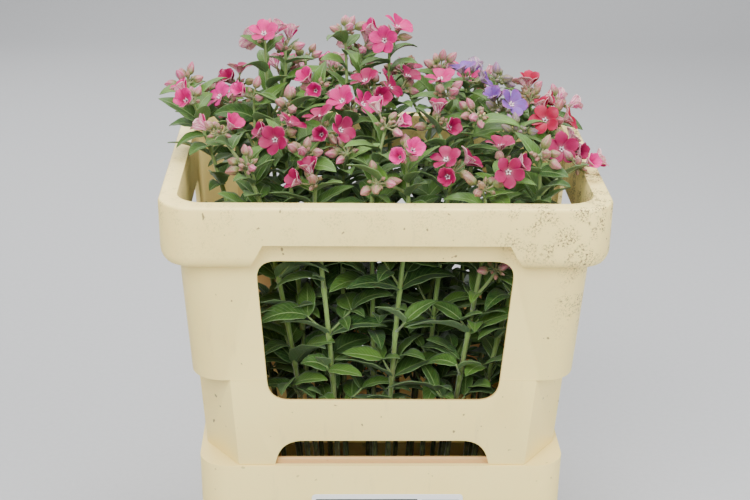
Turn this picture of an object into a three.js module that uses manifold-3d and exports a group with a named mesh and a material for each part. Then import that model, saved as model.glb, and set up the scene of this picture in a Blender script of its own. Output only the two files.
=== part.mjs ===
// Cut tweedia stems standing in water, in a cream transport bucket with a windowed collar.
// Millimetres, +Z up. The origin is the middle of the bucket's flat underside, and -Y is the front.

import * as THREE from "three";
import { mergeVertices } from "three/addons/utils/BufferGeometryUtils.js";
import Module from "manifold-3d";

const wasm = await Module();
wasm.setup();

// Driving dimensions of the bucket
const BUCKET = {
  halfWidth: 172, // at the top, in X
  halfDepth: 122, // at the top, in Y
  footInset: 3, // how much narrower each side is at the floor
  corner: 28,
  height: 174,
  wall: 3.6,
  floor: 4,
  rimDrop: 14, // the thick rim at the mouth
  rimInset: 11,
  lipHeight: 5, // the ridge just inside the collar's foot
  lipWidth: 3.4,
  lipPlay: 0.6,
};

// Driving dimensions of the collar
const COLLAR = {
  bottom: 174.3,
  top: 440,
  shoulder: 265, // chamfered corners below, rounded corners above
  wall: 4.5,
  halfWidthAtFoot: 169.8,
  lean: 0.0705, // growth of each half size per millimetre of height
  depthLess: 50, // half depth is half width less this
  lowerInset: 3,
  corner: 30,
  chamferX: 33,
  chamferY: 47,
};

// The stiff band round the collar's rim
const BAND = {
  halfWidth: 200,
  halfDepth: 150,
  corner: 32,
  bottom: 383,
  recessBottom: 405.5,
  recessHalfTop: 108,
  recessHalfBottom: 122.5,
  sideRecessHalf: 62,
};

// Openings in the collar: half widths at the lower and upper edge
const FRONT_WINDOW = { bottom: 243.5, top: 385.5, halfBottom: 105, halfTop: 115, radius: 19 };
const SIDE_WINDOW = { bottom: 243.5, top: 395, halfBottom: 62, halfTop: 68, radius: 19 };
const FRONT_SLOT = { bottom: 150, top: 200.4, halfBottom: 106, halfTop: 94, radius: 20 };
const SIDE_SLOT = { bottom: 150, top: 200.4, halfBottom: 62, halfTop: 52, radius: 16 };

const WATER_LEVEL = 70;
const CARD = { width: 143, height: 90, thickness: 0.8, centreX: 5.5, top: 144 };
const GAP = 0.3; // between pieces that touch
const FOOT_LEVEL = BUCKET.floor + 3 * GAP; // of the stems, whose cut ends lean
const CORNER_STEPS = 3;

// Driving dimensions of the plants
const STEM = { footRadius: 3, topRadius: 2.3, footSpread: 0.62, spreadHeight: 405, sway: 9, footShift: 8 };
const NODE_SPACING = 46;
const LOWEST_NODE = 222;
const LEAF = { length: 68, halfWidth: 13.5, pitch: 42, droop: 48, fold: 0.25, rib: 0.75 };
const BRACT = { length: 48, halfWidth: 8, pitch: 46, droop: 44, fold: 0.3, rib: 0.75 };
const BLOOM = { radius: 16, notch: 7.4, tipTurn: 21, tube: 3.6 };
const BUD = { length: 13, radius: 3.2 };
const PEDICEL = { length: 13, radius: 0.85 };
const KNOB = { radius: 3, neck: 3.4, drop: 0.8, rise: 1.5, tip: 3 }; // a stalk's end, where the pedicels meet
const STALK_SIDES = 4;
const STALK_TIP = 1.3; // radius of a stalk at its knob
const SIDE_STALK = 1.6; // radius of a side stalk at its fork
const BRACT_NODES = [0.1, 0.42]; // shares of the main stalk
const FORKS = [0.42, 0.1]; // where the side stalks leave it
const FORK_TURNS = [0, Math.PI / 2]; // from the plant's heading to the flats that its bracts leave free
const SIDE_RINGS = [0.16, 0.5]; // shares of a side stalk
const FACET_LEANS = [36, 68, 86]; // degrees from a head's axis to the facets of its knob
const FACET_PLAY = 6;
const NODE_HALF = 2.2; // half the height of a node's straight stretch
const STEM_BEND = 90; // the stem is straight from its foot to here
const GROWTH_REACH = 4.6; // how far from a root's middle its face may lie
const CLEARANCE = { leaf: 7, bloom: 6, own: 4, wall: 9 };
const TRIES = 24;
const SEED = 9;

const PLASTIC_CREAM = 0xdad2b4;
const LEAF_GREEN = 0x4f7a35;
const PETAL_COLOURS = { magenta: 0xd0206a, pink: 0xe8609a, pale: 0xe6b4c4, violet: 0x9a78c8, red: 0xc81848 };

// How many open blooms, half-open blooms and buds a head carries
const OPEN = { open: 2, half: 1, buds: 2 };
const SINGLE = { open: 1, half: 0, buds: 3 };
const CUPS = { open: 0, half: 2, buds: 2 };
const BUDS = { open: 0, half: 0, buds: 5 };

// Each plant: where its stem reaches rim height, its colour, its heads as [x, y, z, kind], and for some the
// heading of their lowest bracts
const PLANTS = [
  { top: [-108, -82], colour: "pink", heads: [[-148, -70, 482, CUPS], [-122, -90, 458, BUDS]] },
  {
    top: [-62, -90], heading: 1.5, colour: "magenta",
    heads: [[-62, -106, 448, CUPS], [-72, -88, 468, BUDS]],
  },
  { top: [-12, -86], colour: "pale", heads: [[0, -76, 492, CUPS]] },
  { top: [20, -92], colour: "pale", heads: [[17, -98, 472, CUPS], [-8, -108, 450, BUDS]] },
  { top: [56, -76], heading: 1.3, colour: "magenta", heads: [[60, -94, 456, OPEN], [47, -56, 487, CUPS]] },
  {
    top: [95, -94], heading: 1.7, colour: "magenta",
    heads: [[104, -98, 464, OPEN], [86, -114, 446, BUDS], [101, -102, 365, SINGLE]],
  },
  { top: [136, -82], colour: "pale", heads: [[138, -84, 468, BUDS], [177, -56, 448, CUPS]] },
  { top: [-84, -48], colour: "magenta", heads: [[-95, -62, 478, OPEN], [-54, -58, 482, OPEN]] },
  { top: [-38, -46], colour: "pink", heads: [[-34, -74, 466, BUDS], [-31, -22, 492, OPEN]] },
  { top: [-150, -8], heading: 1.45, colour: "pink", heads: [[-177, -6, 492, CUPS], [-186, 42, 498, BUDS]] },
  { top: [-116, 6], colour: "pale", heads: [[-122, 4, 495, CUPS], [-142, 28, 482, SINGLE]] },
  { top: [-8, -6], colour: "magenta", heads: [[-10, -6, 502, OPEN], [16, 22, 498, SINGLE]] },
  { top: [62, -30], colour: "pink", heads: [[57, -22, 506, SINGLE], [84, -40, 492, BUDS]] },
  { top: [108, -14], colour: "violet", heads: [[110, -2, 486, OPEN], [122, -42, 476, BUDS]] },
  { top: [140, 18], colour: "red", heads: [[140, 20, 490, CUPS], [160, 2, 474, OPEN]] },
  { top: [154, -36], colour: "magenta", heads: [[166, -26, 458, OPEN]] },
  { top: [-68, 6], colour: "pink", heads: [[-61, 14, 503, CUPS], [-88, -18, 492, BUDS]] },
  { top: [-104, 44], colour: "pink", heads: [[-112, 30, 543, OPEN], [-93, 40, 531, CUPS]] },
  { top: [-74, 62], colour: "pale", heads: [[-74, 62, 516, BUDS], [-44, 72, 500, CUPS]] },
  { top: [-34, 32], colour: "pale", heads: [[-36, 36, 549, BUDS], [-20, 50, 528, CUPS]] },
  { top: [10, 32], colour: "pink", heads: [[6, 20, 549, OPEN]] },
  { top: [46, 60], colour: "pink", heads: [[56, 50, 511, BUDS], [21, 64, 504, BUDS]] },
  { top: [88, 40], colour: "violet", heads: [[80, 40, 502, OPEN], [112, 56, 498, BUDS]] },
  { top: [144, 64], colour: "pink", heads: [[176, 78, 468, CUPS], [146, 70, 480, SINGLE]] },
  { top: [-138, 74], colour: "magenta", heads: [[-142, 92, 482, OPEN], [-166, 66, 476, BUDS]] },
  { top: [-72, 98], colour: "pink", heads: [[-62, 106, 490, CUPS], [-98, 92, 492, OPEN]] },
  { top: [-10, 90], colour: "magenta", heads: [[22, 106, 484, OPEN], [-16, 96, 494, BUDS]] },
  { top: [78, 98], colour: "pink", heads: [[96, 104, 480, OPEN], [60, 94, 488, CUPS]] },
];

// Small vector helpers
const radians = THREE.MathUtils.degToRad;
const add = (a, b) => a.map((value, axis) => value + b[axis]);
const scaled = (a, factor) => a.map((value) => value * factor);
const minus = (a, b) => a.map((value, axis) => value - b[axis]);
const dot = (a, b) => a.reduce((sum, value, axis) => sum + value * b[axis], 0);
const toward = (a, b, share) => a.map((value, axis) => value + (b[axis] - value) * share);
const cross = (a, b) => [a[1] * b[2] - a[2] * b[1], a[2] * b[0] - a[0] * b[2], a[0] * b[1] - a[1] * b[0]];
const length = (a) => Math.hypot(...a);
const unit = (a) => scaled(a, 1 / length(a));

// Two directions square to an axis, the first of them level
function sideFrame(axis) {
  const level = Math.hypot(axis[0], axis[1]) < 1e-6 ? [1, 0, 0] : unit([-axis[1], axis[0], 0]);
  return [level, cross(axis, level)];
}

// A repeatable random number from 0 to 1, the same in any language with 32-bit integers
function randomSource(seed) {
  let state = seed | 0;
  return () => {
    state = (state + 0x6d2b79f5) | 0;
    let mixed = Math.imul(state ^ (state >>> 15), 1 | state);
    mixed = (mixed + Math.imul(mixed ^ (mixed >>> 7), 61 | mixed)) ^ mixed;
    return ((mixed ^ (mixed >>> 14)) >>> 0) / 4294967296;
  };
}

const wrapped = (angle) => ((angle % (2 * Math.PI)) + 2 * Math.PI) % (2 * Math.PI);

// A ring of turned points, started at the one with the least turn
function startAtLeast(ring) {
  const start = ring.reduce((least, point, i) => (point.turn < ring[least].turn ? i : least), 0);
  return [...ring.slice(start), ...ring.slice(0, start)];
}

// A closed body of triangles, made of rings of points that run counter-clockwise seen from the last ring.
// Rings of unlike counts are joined by stepping along whichever is behind, and a ring of one point is a tip
class Body {
  points = [];
  faces = [];

  constructor(rings) {
    const start = this.addRing(rings[0]);
    this.closeRing([...start].reverse());
    this.extend(start, rings.slice(1));
  }

  addRing(ring) {
    return ring.map((point) => this.points.push(point) - 1);
  }

  closeRing(ring) {
    for (let i = 1; i < ring.length - 1; i++) this.faces.push([ring[0], ring[i], ring[i + 1]]);
  }

  extend(start, rings) {
    const last = rings.reduce((low, ring) => {
      const high = this.addRing(ring);
      this.joinRings(low, high);
      return high;
    }, start);
    this.closeRing(last);
  }

  joinRings(low, high) {
    let [i, j] = [0, 0];
    while (i < low.length || j < high.length) {
      const stepHigh = j < high.length && (i >= low.length || (j + 1) / high.length <= (i + 1) / low.length);
      const next = stepHigh ? high[(j + 1) % high.length] : low[(i + 1) % low.length];
      const face = [low[i % low.length], next, high[j % high.length]];
      if (new Set(face).size === 3) this.faces.push(face);
      if (stepHigh) j++;
      else i++;
    }
  }

  // Grows rings out of the face near a point that looks most in a direction, so that both are one skin.
  // The frame and the turns say where the first ring's points lie round the growth, to match its face to them
  grow(near, direction, rings, [first, second], turns) {
    let best = { score: -Infinity };
    this.faces.forEach((face, index) => {
      const [a, b, c] = face.map((vertex) => this.points[vertex]);
      const centre = scaled(add(add(a, b), c), 1 / 3);
      const normal = unit(cross(minus(b, a), minus(c, a)));
      const score = dot(normal, direction);
      if (length(minus(centre, near)) < GROWTH_REACH && score > best.score) best = { score, index, face };
    });
    if (best.score < 0) throw new Error("nothing to grow from");
    this.faces.splice(best.index, 1);
    const corners = best.face.map((vertex) => this.points[vertex]);
    const centre = scaled(corners.reduce(add), 1 / 3);
    const low = corners.map((corner, i) => {
      const out = minus(corner, centre);
      return { vertex: best.face[i], turn: wrapped(Math.atan2(dot(out, second), dot(out, first))) };
    });
    const high = this.addRing(rings[0]).map((vertex, i) => ({ vertex, turn: wrapped(turns[i]) }));
    this.joinByTurn(startAtLeast(low), startAtLeast(high));
    this.extend(high.map((point) => point.vertex), rings.slice(1));
  }

  // Joins two rings by the turns of their points, both running counter-clockwise
  joinByTurn(low, high) {
    const at = (ring, i) => ring[i % ring.length].turn + 2 * Math.PI * Math.floor(i / ring.length);
    let [i, j] = [0, 0];
    while (i < low.length || j < high.length) {
      const midLow = 0.5 * (at(low, i) + at(low, i + 1));
      const midHigh = 0.5 * (at(high, j) + at(high, j + 1));
      const stepHigh = j < high.length && (i >= low.length || midHigh <= midLow);
      const next = stepHigh ? high[(j + 1) % high.length] : low[(i + 1) % low.length];
      this.faces.push([low[i % low.length].vertex, next.vertex, high[j % high.length].vertex]);
      if (stepHigh) j++;
      else i++;
    }
  }

  geometry() {
    const geometry = new THREE.BufferGeometry();
    geometry.setAttribute("position", new THREE.Float32BufferAttribute(this.points.flat(), 3));
    geometry.setIndex(this.faces.flat());
    return geometry;
  }
}

// Manifold solids to and from three.js geometry
function solidOf(geometry) {
  const bare = geometry.clone();
  bare.deleteAttribute("normal");
  bare.deleteAttribute("uv");
  const merged = mergeVertices(bare, 1e-4);
  return new wasm.Manifold(new wasm.Mesh({
    numProp: 3,
    vertProperties: Float32Array.from(merged.attributes.position.array),
    triVerts: Uint32Array.from(merged.index.array),
  }));
}

function geometryOf(solid) {
  const mesh = solid.getMesh();
  const geometry = new THREE.BufferGeometry();
  geometry.setAttribute("position", new THREE.BufferAttribute(mesh.vertProperties, 3));
  geometry.setIndex(new THREE.BufferAttribute(mesh.triVerts, 1));
  geometry.computeVertexNormals();
  return geometry;
}

const plastic = (colour) => new THREE.MeshStandardMaterial({ color: colour, roughness: 0.55, metalness: 0 });
const foliage = (colour) => new THREE.MeshStandardMaterial({ color: colour, roughness: 0.7, metalness: 0 });

const model = new THREE.Group();

function addNode(name, geometry, material) {
  const mesh = new THREE.Mesh(geometry, material);
  mesh.name = name;
  model.add(mesh);
  return mesh;
}

// Level outlines of the container, counter-clockwise seen from above
function roundedOutline(halfX, halfY, radius) {
  const points = [];
  const corners = [[1, 1, 0], [-1, 1, 90], [-1, -1, 180], [1, -1, 270]];
  for (const [signX, signY, start] of corners) {
    for (let i = 0; i <= CORNER_STEPS; i++) {
      const angle = radians(start + (90 * i) / CORNER_STEPS);
      points.push([
        signX * (halfX - radius) + radius * Math.cos(angle),
        signY * (halfY - radius) + radius * Math.sin(angle),
      ]);
    }
  }
  return points;
}

function chamferedOutline(halfX, halfY, cutX, cutY) {
  return [
    [halfX, halfY - cutY], [halfX - cutX, halfY], [cutX - halfX, halfY], [-halfX, halfY - cutY],
    [-halfX, cutY - halfY], [cutX - halfX, -halfY], [halfX - cutX, -halfY], [halfX, cutY - halfY],
  ];
}

function lofted(levels) {
  const rings = levels.map(([z, outline]) => outline.map(([x, y]) => [x, y, z]));
  return solidOf(new Body(rings).geometry());
}

// Half width of the collar's outer face at a height
const collarHalfWidth = (z) => COLLAR.halfWidthAtFoot + COLLAR.lean * (z - COLLAR.bottom);

function collarLevel(z, inset) {
  const halfX = collarHalfWidth(z) - inset;
  return [z, roundedOutline(halfX, halfX - COLLAR.depthLess, COLLAR.corner - inset)];
}

function lowerCollarLevel(z, inset) {
  const halfX = collarHalfWidth(z) - COLLAR.lowerInset - inset;
  const halfY = collarHalfWidth(z) - COLLAR.depthLess - inset;
  const eased = 0.56 * inset;
  return [z, chamferedOutline(halfX, halfY, COLLAR.chamferX - eased, COLLAR.chamferY - eased)];
}

// A window's outline in its wall's own plane: straight leaning sides and four round corners
function windowShape({ bottom, top, halfBottom, halfTop, radius }) {
  const shape = new THREE.Shape();
  const side = (share) => halfBottom + (halfTop - halfBottom) * share;
  const rise = top - bottom;
  const cut = radius / rise;
  shape.moveTo(-halfBottom + radius, bottom);
  shape.lineTo(halfBottom - radius, bottom);
  shape.quadraticCurveTo(halfBottom, bottom, side(cut), bottom + radius);
  shape.lineTo(side(1 - cut), top - radius);
  shape.quadraticCurveTo(halfTop, top, halfTop - radius, top);
  shape.lineTo(radius - halfTop, top);
  shape.quadraticCurveTo(-halfTop, top, -side(1 - cut), top - radius);
  shape.lineTo(-side(cut), bottom + radius);
  shape.quadraticCurveTo(-halfBottom, bottom, -halfBottom + radius, bottom);
  return shape;
}

// A shape drawn in X and height, pushed through the container along Y, or along X when turned
function throughCut(shape, reach, turned) {
  const settings = { depth: 2 * reach, bevelEnabled: false, curveSegments: 3 };
  const geometry = new THREE.ExtrudeGeometry(shape, settings);
  geometry.translate(0, 0, -reach);
  geometry.rotateX(Math.PI / 2);
  if (turned) geometry.rotateZ(Math.PI / 2);
  return solidOf(geometry);
}

function bandRecess(half, spread) {
  const shape = new THREE.Shape();
  const below = BAND.bottom - 5;
  shape.moveTo(-half - spread, below);
  shape.lineTo(half + spread, below);
  shape.lineTo(half, BAND.recessBottom);
  shape.lineTo(-half, BAND.recessBottom);
  shape.closePath();
  return shape;
}

function collarSolid() {
  const bandLevel = (z, inset) => [
    z, roundedOutline(BAND.halfWidth - inset, BAND.halfDepth - inset, BAND.corner - inset),
  ];
  const spread = BAND.recessHalfBottom - BAND.recessHalfTop;
  const band = lofted([
    bandLevel(BAND.bottom, 8), bandLevel(BAND.bottom + 4, 3), bandLevel(BAND.bottom + 12, 0.6),
    bandLevel(COLLAR.top - 3, 0), bandLevel(COLLAR.top, 2),
  ])
    .subtract(throughCut(bandRecess(BAND.recessHalfTop, spread), 170, false))
    .subtract(throughCut(bandRecess(BAND.sideRecessHalf, spread), 220, true));
  const upper = lofted([collarLevel(COLLAR.shoulder, 0), collarLevel(COLLAR.top - 2, 0)]);
  const lower = lofted([lowerCollarLevel(COLLAR.bottom, 0), lowerCollarLevel(COLLAR.shoulder + 1, 0)]);
  const ledge = COLLAR.shoulder + 4;
  const upperHollow = lofted([collarLevel(ledge, COLLAR.wall), collarLevel(COLLAR.top + 2, COLLAR.wall)]);
  const lowerHollow = lofted([
    lowerCollarLevel(COLLAR.bottom - 2, COLLAR.wall), lowerCollarLevel(ledge + 1, COLLAR.wall),
  ]);
  return band.add(upper).add(lower)
    .subtract(upperHollow)
    .subtract(lowerHollow)
    .subtract(throughCut(windowShape(FRONT_WINDOW), 170, false))
    .subtract(throughCut(windowShape(SIDE_WINDOW), 220, true))
    .subtract(throughCut(windowShape(FRONT_SLOT), 170, false))
    .subtract(throughCut(windowShape(SIDE_SLOT), 220, true));
}

// The bucket's outer and inner sizes change evenly with height
const bucketInset = (z) => BUCKET.footInset * (1 - z / BUCKET.height);

function bucketLevel(z, inset) {
  const drawn = inset + bucketInset(z);
  const radius = Math.max(BUCKET.corner - drawn, 6);
  return [z, roundedOutline(BUCKET.halfWidth - drawn, BUCKET.halfDepth - drawn, radius)];
}

function bucketSolid() {
  const outer = lofted([bucketLevel(0, 3), bucketLevel(3, 0), bucketLevel(BUCKET.height, 0)]);
  const lipTop = BUCKET.height + BUCKET.lipHeight;
  const lipLevel = (z, inset) => {
    const [, outline] = lowerCollarLevel(COLLAR.bottom, COLLAR.wall + BUCKET.lipPlay + inset);
    return [z, outline];
  };
  const lip = lofted([lipLevel(BUCKET.height - 1, 0), lipLevel(lipTop - 1.5, 0), lipLevel(lipTop, 1)]);
  const mouth = lofted([
    lipLevel(BUCKET.height - 3, BUCKET.lipWidth), lipLevel(lipTop + 2, BUCKET.lipWidth),
  ]);
  const hollow = lofted([
    bucketLevel(BUCKET.floor, BUCKET.wall),
    bucketLevel(BUCKET.height - BUCKET.rimDrop, BUCKET.wall),
    bucketLevel(BUCKET.height - 2, BUCKET.rimInset),
  ]);
  return outer.add(lip).subtract(hollow).subtract(mouth);
}

// A plant's stem, as a point at a height: it fans out from its foot and sways a little
function stemPoint(plant, z) {
  const rise = z / STEM.spreadHeight;
  const spread = STEM.footSpread + (1 - STEM.footSpread) * rise ** 1.5;
  const sway = Math.sin(Math.PI * rise);
  const place = (axis) => plant.top[axis] * spread + plant.sway[axis] * sway + plant.foot[axis] * (1 - rise);
  return [place(0), place(1), z];
}

// Two directions square to an axis, the first of them nearest to a level heading
function headedFrame(axis, heading) {
  const level = [Math.cos(heading), Math.sin(heading), 0];
  const first = unit(minus(level, scaled(axis, dot(level, axis))));
  return [first, cross(axis, first)];
}

// Rings of a tube carried along points, with one radius at each, whose flats look along a level heading
function tubeRings(points, radii, heading) {
  return points.map((point, i) => {
    const before = points[Math.max(i - 1, 0)];
    const after = points[Math.min(i + 1, points.length - 1)];
    const frame = headedFrame(unit(minus(after, before)), heading);
    return ringAt(point, frame, radii[i], STALK_SIDES, 0.5);
  });
}

// A ring of points round a middle, turned by a share of one side
function ringAt(middle, [first, second], radius, sides, turn) {
  return Array.from({ length: sides }, (_, k) => {
    const angle = (2 * Math.PI * (k + turn)) / sides;
    const out = add(scaled(first, Math.cos(angle)), scaled(second, Math.sin(angle)));
    return add(middle, scaled(out, radius));
  });
}

function evenTurns(sides, turn) {
  return Array.from({ length: sides }, (_, k) => (2 * Math.PI * (k + turn)) / sides);
}

// A blade's midrib bends evenly from its first pitch, by its droop, along its length
function bladePoint(blade, share) {
  const pitch = blade.pitch - blade.droop * share;
  const reach = (blade.length * (Math.sin(blade.pitch) - Math.sin(pitch))) / blade.droop;
  const rise = (blade.length * (Math.cos(pitch) - Math.cos(blade.pitch))) / blade.droop;
  const [cosine, sine] = [Math.cos(blade.heading), Math.sin(blade.heading)];
  const normal = [-cosine * Math.sin(pitch), -sine * Math.sin(pitch), Math.cos(pitch)];
  const level = [-sine, cosine, 0];
  return {
    middle: add(blade.root, [cosine * reach, sine * reach, rise]),
    side: add(scaled(level, Math.cos(blade.roll)), scaled(normal, Math.sin(blade.roll))),
    normal: add(scaled(normal, Math.cos(blade.roll)), scaled(level, -Math.sin(blade.roll))),
  };
}

// The way a blade leaves its stem
const bladeDirection = (blade) => [
  Math.cos(blade.heading) * Math.cos(blade.pitch), Math.sin(blade.heading) * Math.cos(blade.pitch), 0,
];

// Half width along a blade: widest a third of the way, with a drawn-out tip
const bladeWidth = (blade, share) => blade.halfWidth * Math.sin(Math.PI * share ** 0.7) ** 0.8;

function bladeEdge(blade, share, sign) {
  const { middle, side, normal } = bladePoint(blade, share);
  const width = bladeWidth(blade, share);
  return add(middle, add(scaled(side, sign * width), scaled(normal, blade.fold * width)));
}

// A leaf: a folded lens that ends in a tip
function bladeRings(blade) {
  const rings = blade.stations.map((share) => {
    const { middle, normal } = bladePoint(blade, share);
    return [
      bladeEdge(blade, share, 1), add(middle, scaled(normal, blade.rib)),
      bladeEdge(blade, share, -1), add(middle, scaled(normal, -blade.rib)),
    ];
  });
  return [...rings, [bladePoint(blade, 1).middle]];
}

function bladeSamples(blade) {
  const points = [bladePoint(blade, 1).middle];
  for (let i = 2; i < 10; i++) {
    const share = i / 10;
    points.push(bladePoint(blade, share).middle);
    points.push(bladeEdge(blade, share, 0.85), bladeEdge(blade, share, -0.85));
  }
  return points;
}

// A point on a bloom: so far out from its centre, at a turn about its axis, raised by its cup
function bloomPoint(bloom, distance, turn) {
  const angle = bloom.turn + turn;
  const out = add(scaled(bloom.first, Math.cos(angle)), scaled(bloom.second, Math.sin(angle)));
  return add(bloom.centre, add(
    scaled(out, distance * Math.cos(bloom.cup)), scaled(bloom.axis, distance * Math.sin(bloom.cup)),
  ));
}

// An open bloom on its stalk: five petals round a short tube
function bloomRings(bloom) {
  const outline = [];
  const tipTurn = radians(BLOOM.tipTurn);
  for (let petal = 0; petal < 5; petal++) {
    const turn = (2 * Math.PI * petal) / 5;
    outline.push(
      bloomPoint(bloom, BLOOM.radius * bloom.size, turn - tipTurn),
      bloomPoint(bloom, BLOOM.radius * bloom.size, turn + tipTurn),
      bloomPoint(bloom, BLOOM.notch * bloom.size, turn + Math.PI / 5),
    );
  }
  const throat = add(bloom.centre, scaled(bloom.axis, -BLOOM.tube));
  const turned = [
    add(scaled(bloom.first, Math.cos(bloom.turn)), scaled(bloom.second, Math.sin(bloom.turn))),
    add(scaled(bloom.second, Math.cos(bloom.turn)), scaled(bloom.first, -Math.sin(bloom.turn))),
  ];
  return [ringAt(throat, turned, PEDICEL.radius, 3, 0), outline, [bloom.centre]];
}

function bloomSamples(bloom) {
  const points = [bloom.centre, toward(bloom.root, bloom.centre, 0.8)];
  for (let petal = 0; petal < 5; petal++) {
    const turn = (2 * Math.PI * petal) / 5;
    const at = (distance, aside) => points.push(bloomPoint(bloom, distance * bloom.size, turn + aside));
    at(4.5, 0);
    at(8.5, 0);
    at(BLOOM.radius, 0);
    at(12, 0.36);
    at(12, -0.36);
    at(0.9 * BLOOM.notch, Math.PI / 5);
  }
  return points;
}

// A bud: a stalk that swells to a three-sided, twisted spindle
function budRings(bud) {
  const frame = sideFrame(bud.axis);
  const at = (distance) => add(bud.root, scaled(bud.axis, distance));
  return [
    ringAt(at(bud.stalk), frame, PEDICEL.radius * 1.3, 3, 0),
    ringAt(at(bud.stalk + 0.4 * bud.length), frame, bud.radius, 3, 0.25),
    [at(bud.stalk + bud.length)],
  ];
}

function budSamples(bud) {
  const whole = bud.stalk + bud.length;
  return [0.5, 0.62, 0.75, 0.88, 1].map((share) => add(bud.root, scaled(bud.axis, whole * share)));
}

// Room inside the collar: below the rim, a point keeps clear of the walls and of the corners
function insideWalls([x, y, z]) {
  if (z > COLLAR.top + CLEARANCE.leaf) return true;
  const halfX = collarHalfWidth(z) - COLLAR.lowerInset - COLLAR.wall - CLEARANCE.wall;
  const halfY = halfX + COLLAR.lowerInset - COLLAR.depthLess;
  const cornerX = Math.max(Math.abs(x) - halfX + 34, 0) / 34;
  const cornerY = Math.max(Math.abs(y) - halfY + 44, 0) / 44;
  return Math.abs(x) < halfX && Math.abs(y) < halfY && cornerX + cornerY < 1;
}

// Everything already placed, as points that each belong to a node
class Crowd {
  points = [];
  owners = [];

  add(points, owner) {
    for (const point of points) {
      this.points.push(point);
      this.owners.push(owner);
    }
  }

  // True where every point keeps its distance from other nodes, and a smaller one from its own
  clear(samples, owner, distance) {
    for (let i = 0; i < this.points.length; i++) {
      const limit = this.owners[i] === owner ? CLEARANCE.own : distance;
      const [x, y, z] = this.points[i];
      for (const sample of samples) {
        const dx = sample[0] - x;
        const dy = sample[1] - y;
        const dz = sample[2] - z;
        if (dx * dx + dy * dy + dz * dz < limit * limit) return false;
      }
    }
    return true;
  }
}

const crowd = new Crowd();
const random = randomSource(SEED);
const between = (low, high) => low + (high - low) * random();

// Draws a shape again until it is clear of the rest, and gives up after a set number of tries
function placed(draw, samplesOf, owner, distance) {
  for (let attempt = 0; attempt < TRIES; attempt++) {
    const shape = draw(attempt);
    const samples = samplesOf(shape);
    if (samples.every(insideWalls) && crowd.clear(samples, owner, distance)) {
      crowd.add(samples, owner);
      return shape;
    }
  }
  return null;
}

// A stalk that leaves one point in a direction and ends at another, as a point at a share of its way
function stalkPoint(stalk, share) {
  const bend = add(stalk.start, scaled(stalk.direction, 0.5 * length(minus(stalk.end, stalk.start))));
  return toward(toward(stalk.start, bend, share), toward(bend, stalk.end, share), share);
}

const stemName = (i) => `stem_${String(i + 1).padStart(2, "0")}`;
const sprayName = (i) => `spray_${String(i + 1).padStart(2, "0")}`;

// The stems and the stalks of every spray, which everything else keeps clear of
PLANTS.forEach((plant, i) => {
  const turn = between(0, 2 * Math.PI);
  const footTurn = between(0, 2 * Math.PI);
  plant.sway = [STEM.sway * Math.cos(turn), STEM.sway * Math.sin(turn)];
  plant.foot = [STEM.footShift * Math.cos(footTurn), STEM.footShift * Math.sin(footTurn)];
  const [one, two] = plant.heads;
  const drawn = between(0, Math.PI);
  plant.heading = plant.heading ?? (two ? Math.atan2(two[1] - one[1], two[0] - one[0]) : drawn);
  const lowest = Math.min(...plant.heads.map((head) => head[2]));
  plant.stemTop = Math.min(STEM.spreadHeight, lowest - 45);
  const base = add(stemPoint(plant, plant.stemTop), [0, 0, GAP]);
  const direction = unit(minus(base, stemPoint(plant, plant.stemTop - 20)));
  plant.stalks = [];
  plant.heads.forEach((row, k) => {
    const head = row.slice(0, 3);
    const axis = headAxis(head);
    const end = add(head, scaled(axis, -KNOB.neck));
    if (k === 0) {
      plant.stalks.push({ start: base, direction, end, head, axis, heading: plant.heading });
      return;
    }
    const start = stalkPoint(plant.stalks[0], FORKS[k - 1]);
    const flat = plant.heading + FORK_TURNS[k - 1];
    const free = [Math.cos(flat), Math.sin(flat), 0];
    const out = scaled(free, dot(free, minus(head, start)) < 0 ? -1 : 1);
    const [across] = sideFrame(unit(minus(end, start)));
    const heading = Math.atan2(across[1], across[0]);
    const leaving = unit(add(scaled(out, 0.9), direction));
    plant.stalks.push({ start, direction: leaving, end, head, axis, heading, out });
  });
  const axis = [];
  for (let z = WATER_LEVEL; z < plant.stemTop; z += 6) axis.push(stemPoint(plant, z));
  crowd.add(axis, stemName(i));
  for (const stalk of plant.stalks) {
    crowd.add(Array.from({ length: 25 }, (_, k) => stalkPoint(stalk, k / 24)), sprayName(i));
  }
});

// The direction a head faces: up, a little outwards, and a little to its own nearer side
function headAxis([x, y]) {
  return unit([x / 420, y < 30 ? -0.45 : 0.35, 1]);
}

// The way from a head to one facet of its knob, nearly: the facets lie in three rows of five
function facetDirection({ axis, heading }, facet) {
  const row = Math.floor(facet / 5);
  const [first, second] = headedFrame(axis, heading);
  const even = (2 * Math.PI * ((facet % 5) + (row === 2 ? 0 : 0.5))) / 5;
  const turn = even + radians(between(-FACET_PLAY, FACET_PLAY));
  const lean = radians(FACET_LEANS[row] + between(-FACET_PLAY, FACET_PLAY));
  const out = add(scaled(first, Math.cos(turn)), scaled(second, Math.sin(turn)));
  return unit(add(scaled(axis, Math.cos(lean)), scaled(out, Math.sin(lean))));
}

// Draws one of the first so many facets that is still free
function freeFacet(stalk, count) {
  const free = Array.from({ length: count }, (_, facet) => facet).filter((facet) => !stalk.taken.has(facet));
  return free[Math.floor(free.length * random())];
}

function drawBloom(stalk, halfOpen) {
  const facet = freeFacet(stalk, 10);
  const direction = facetDirection(stalk, facet);
  const facing = unit(add(direction, scaled(stalk.axis, 0.5)));
  const [first, second] = sideFrame(facing);
  const reach = PEDICEL.length * between(0.85, 1.3);
  return {
    facet,
    root: stalk.head,
    centre: add(stalk.head, scaled(direction, reach)),
    axis: facing,
    first,
    second,
    turn: between(0, 1.25),
    cup: radians(halfOpen ? between(50, 62) : between(14, 30)),
    size: halfOpen ? between(0.82, 0.95) : between(0.9, 1.05),
  };
}

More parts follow.
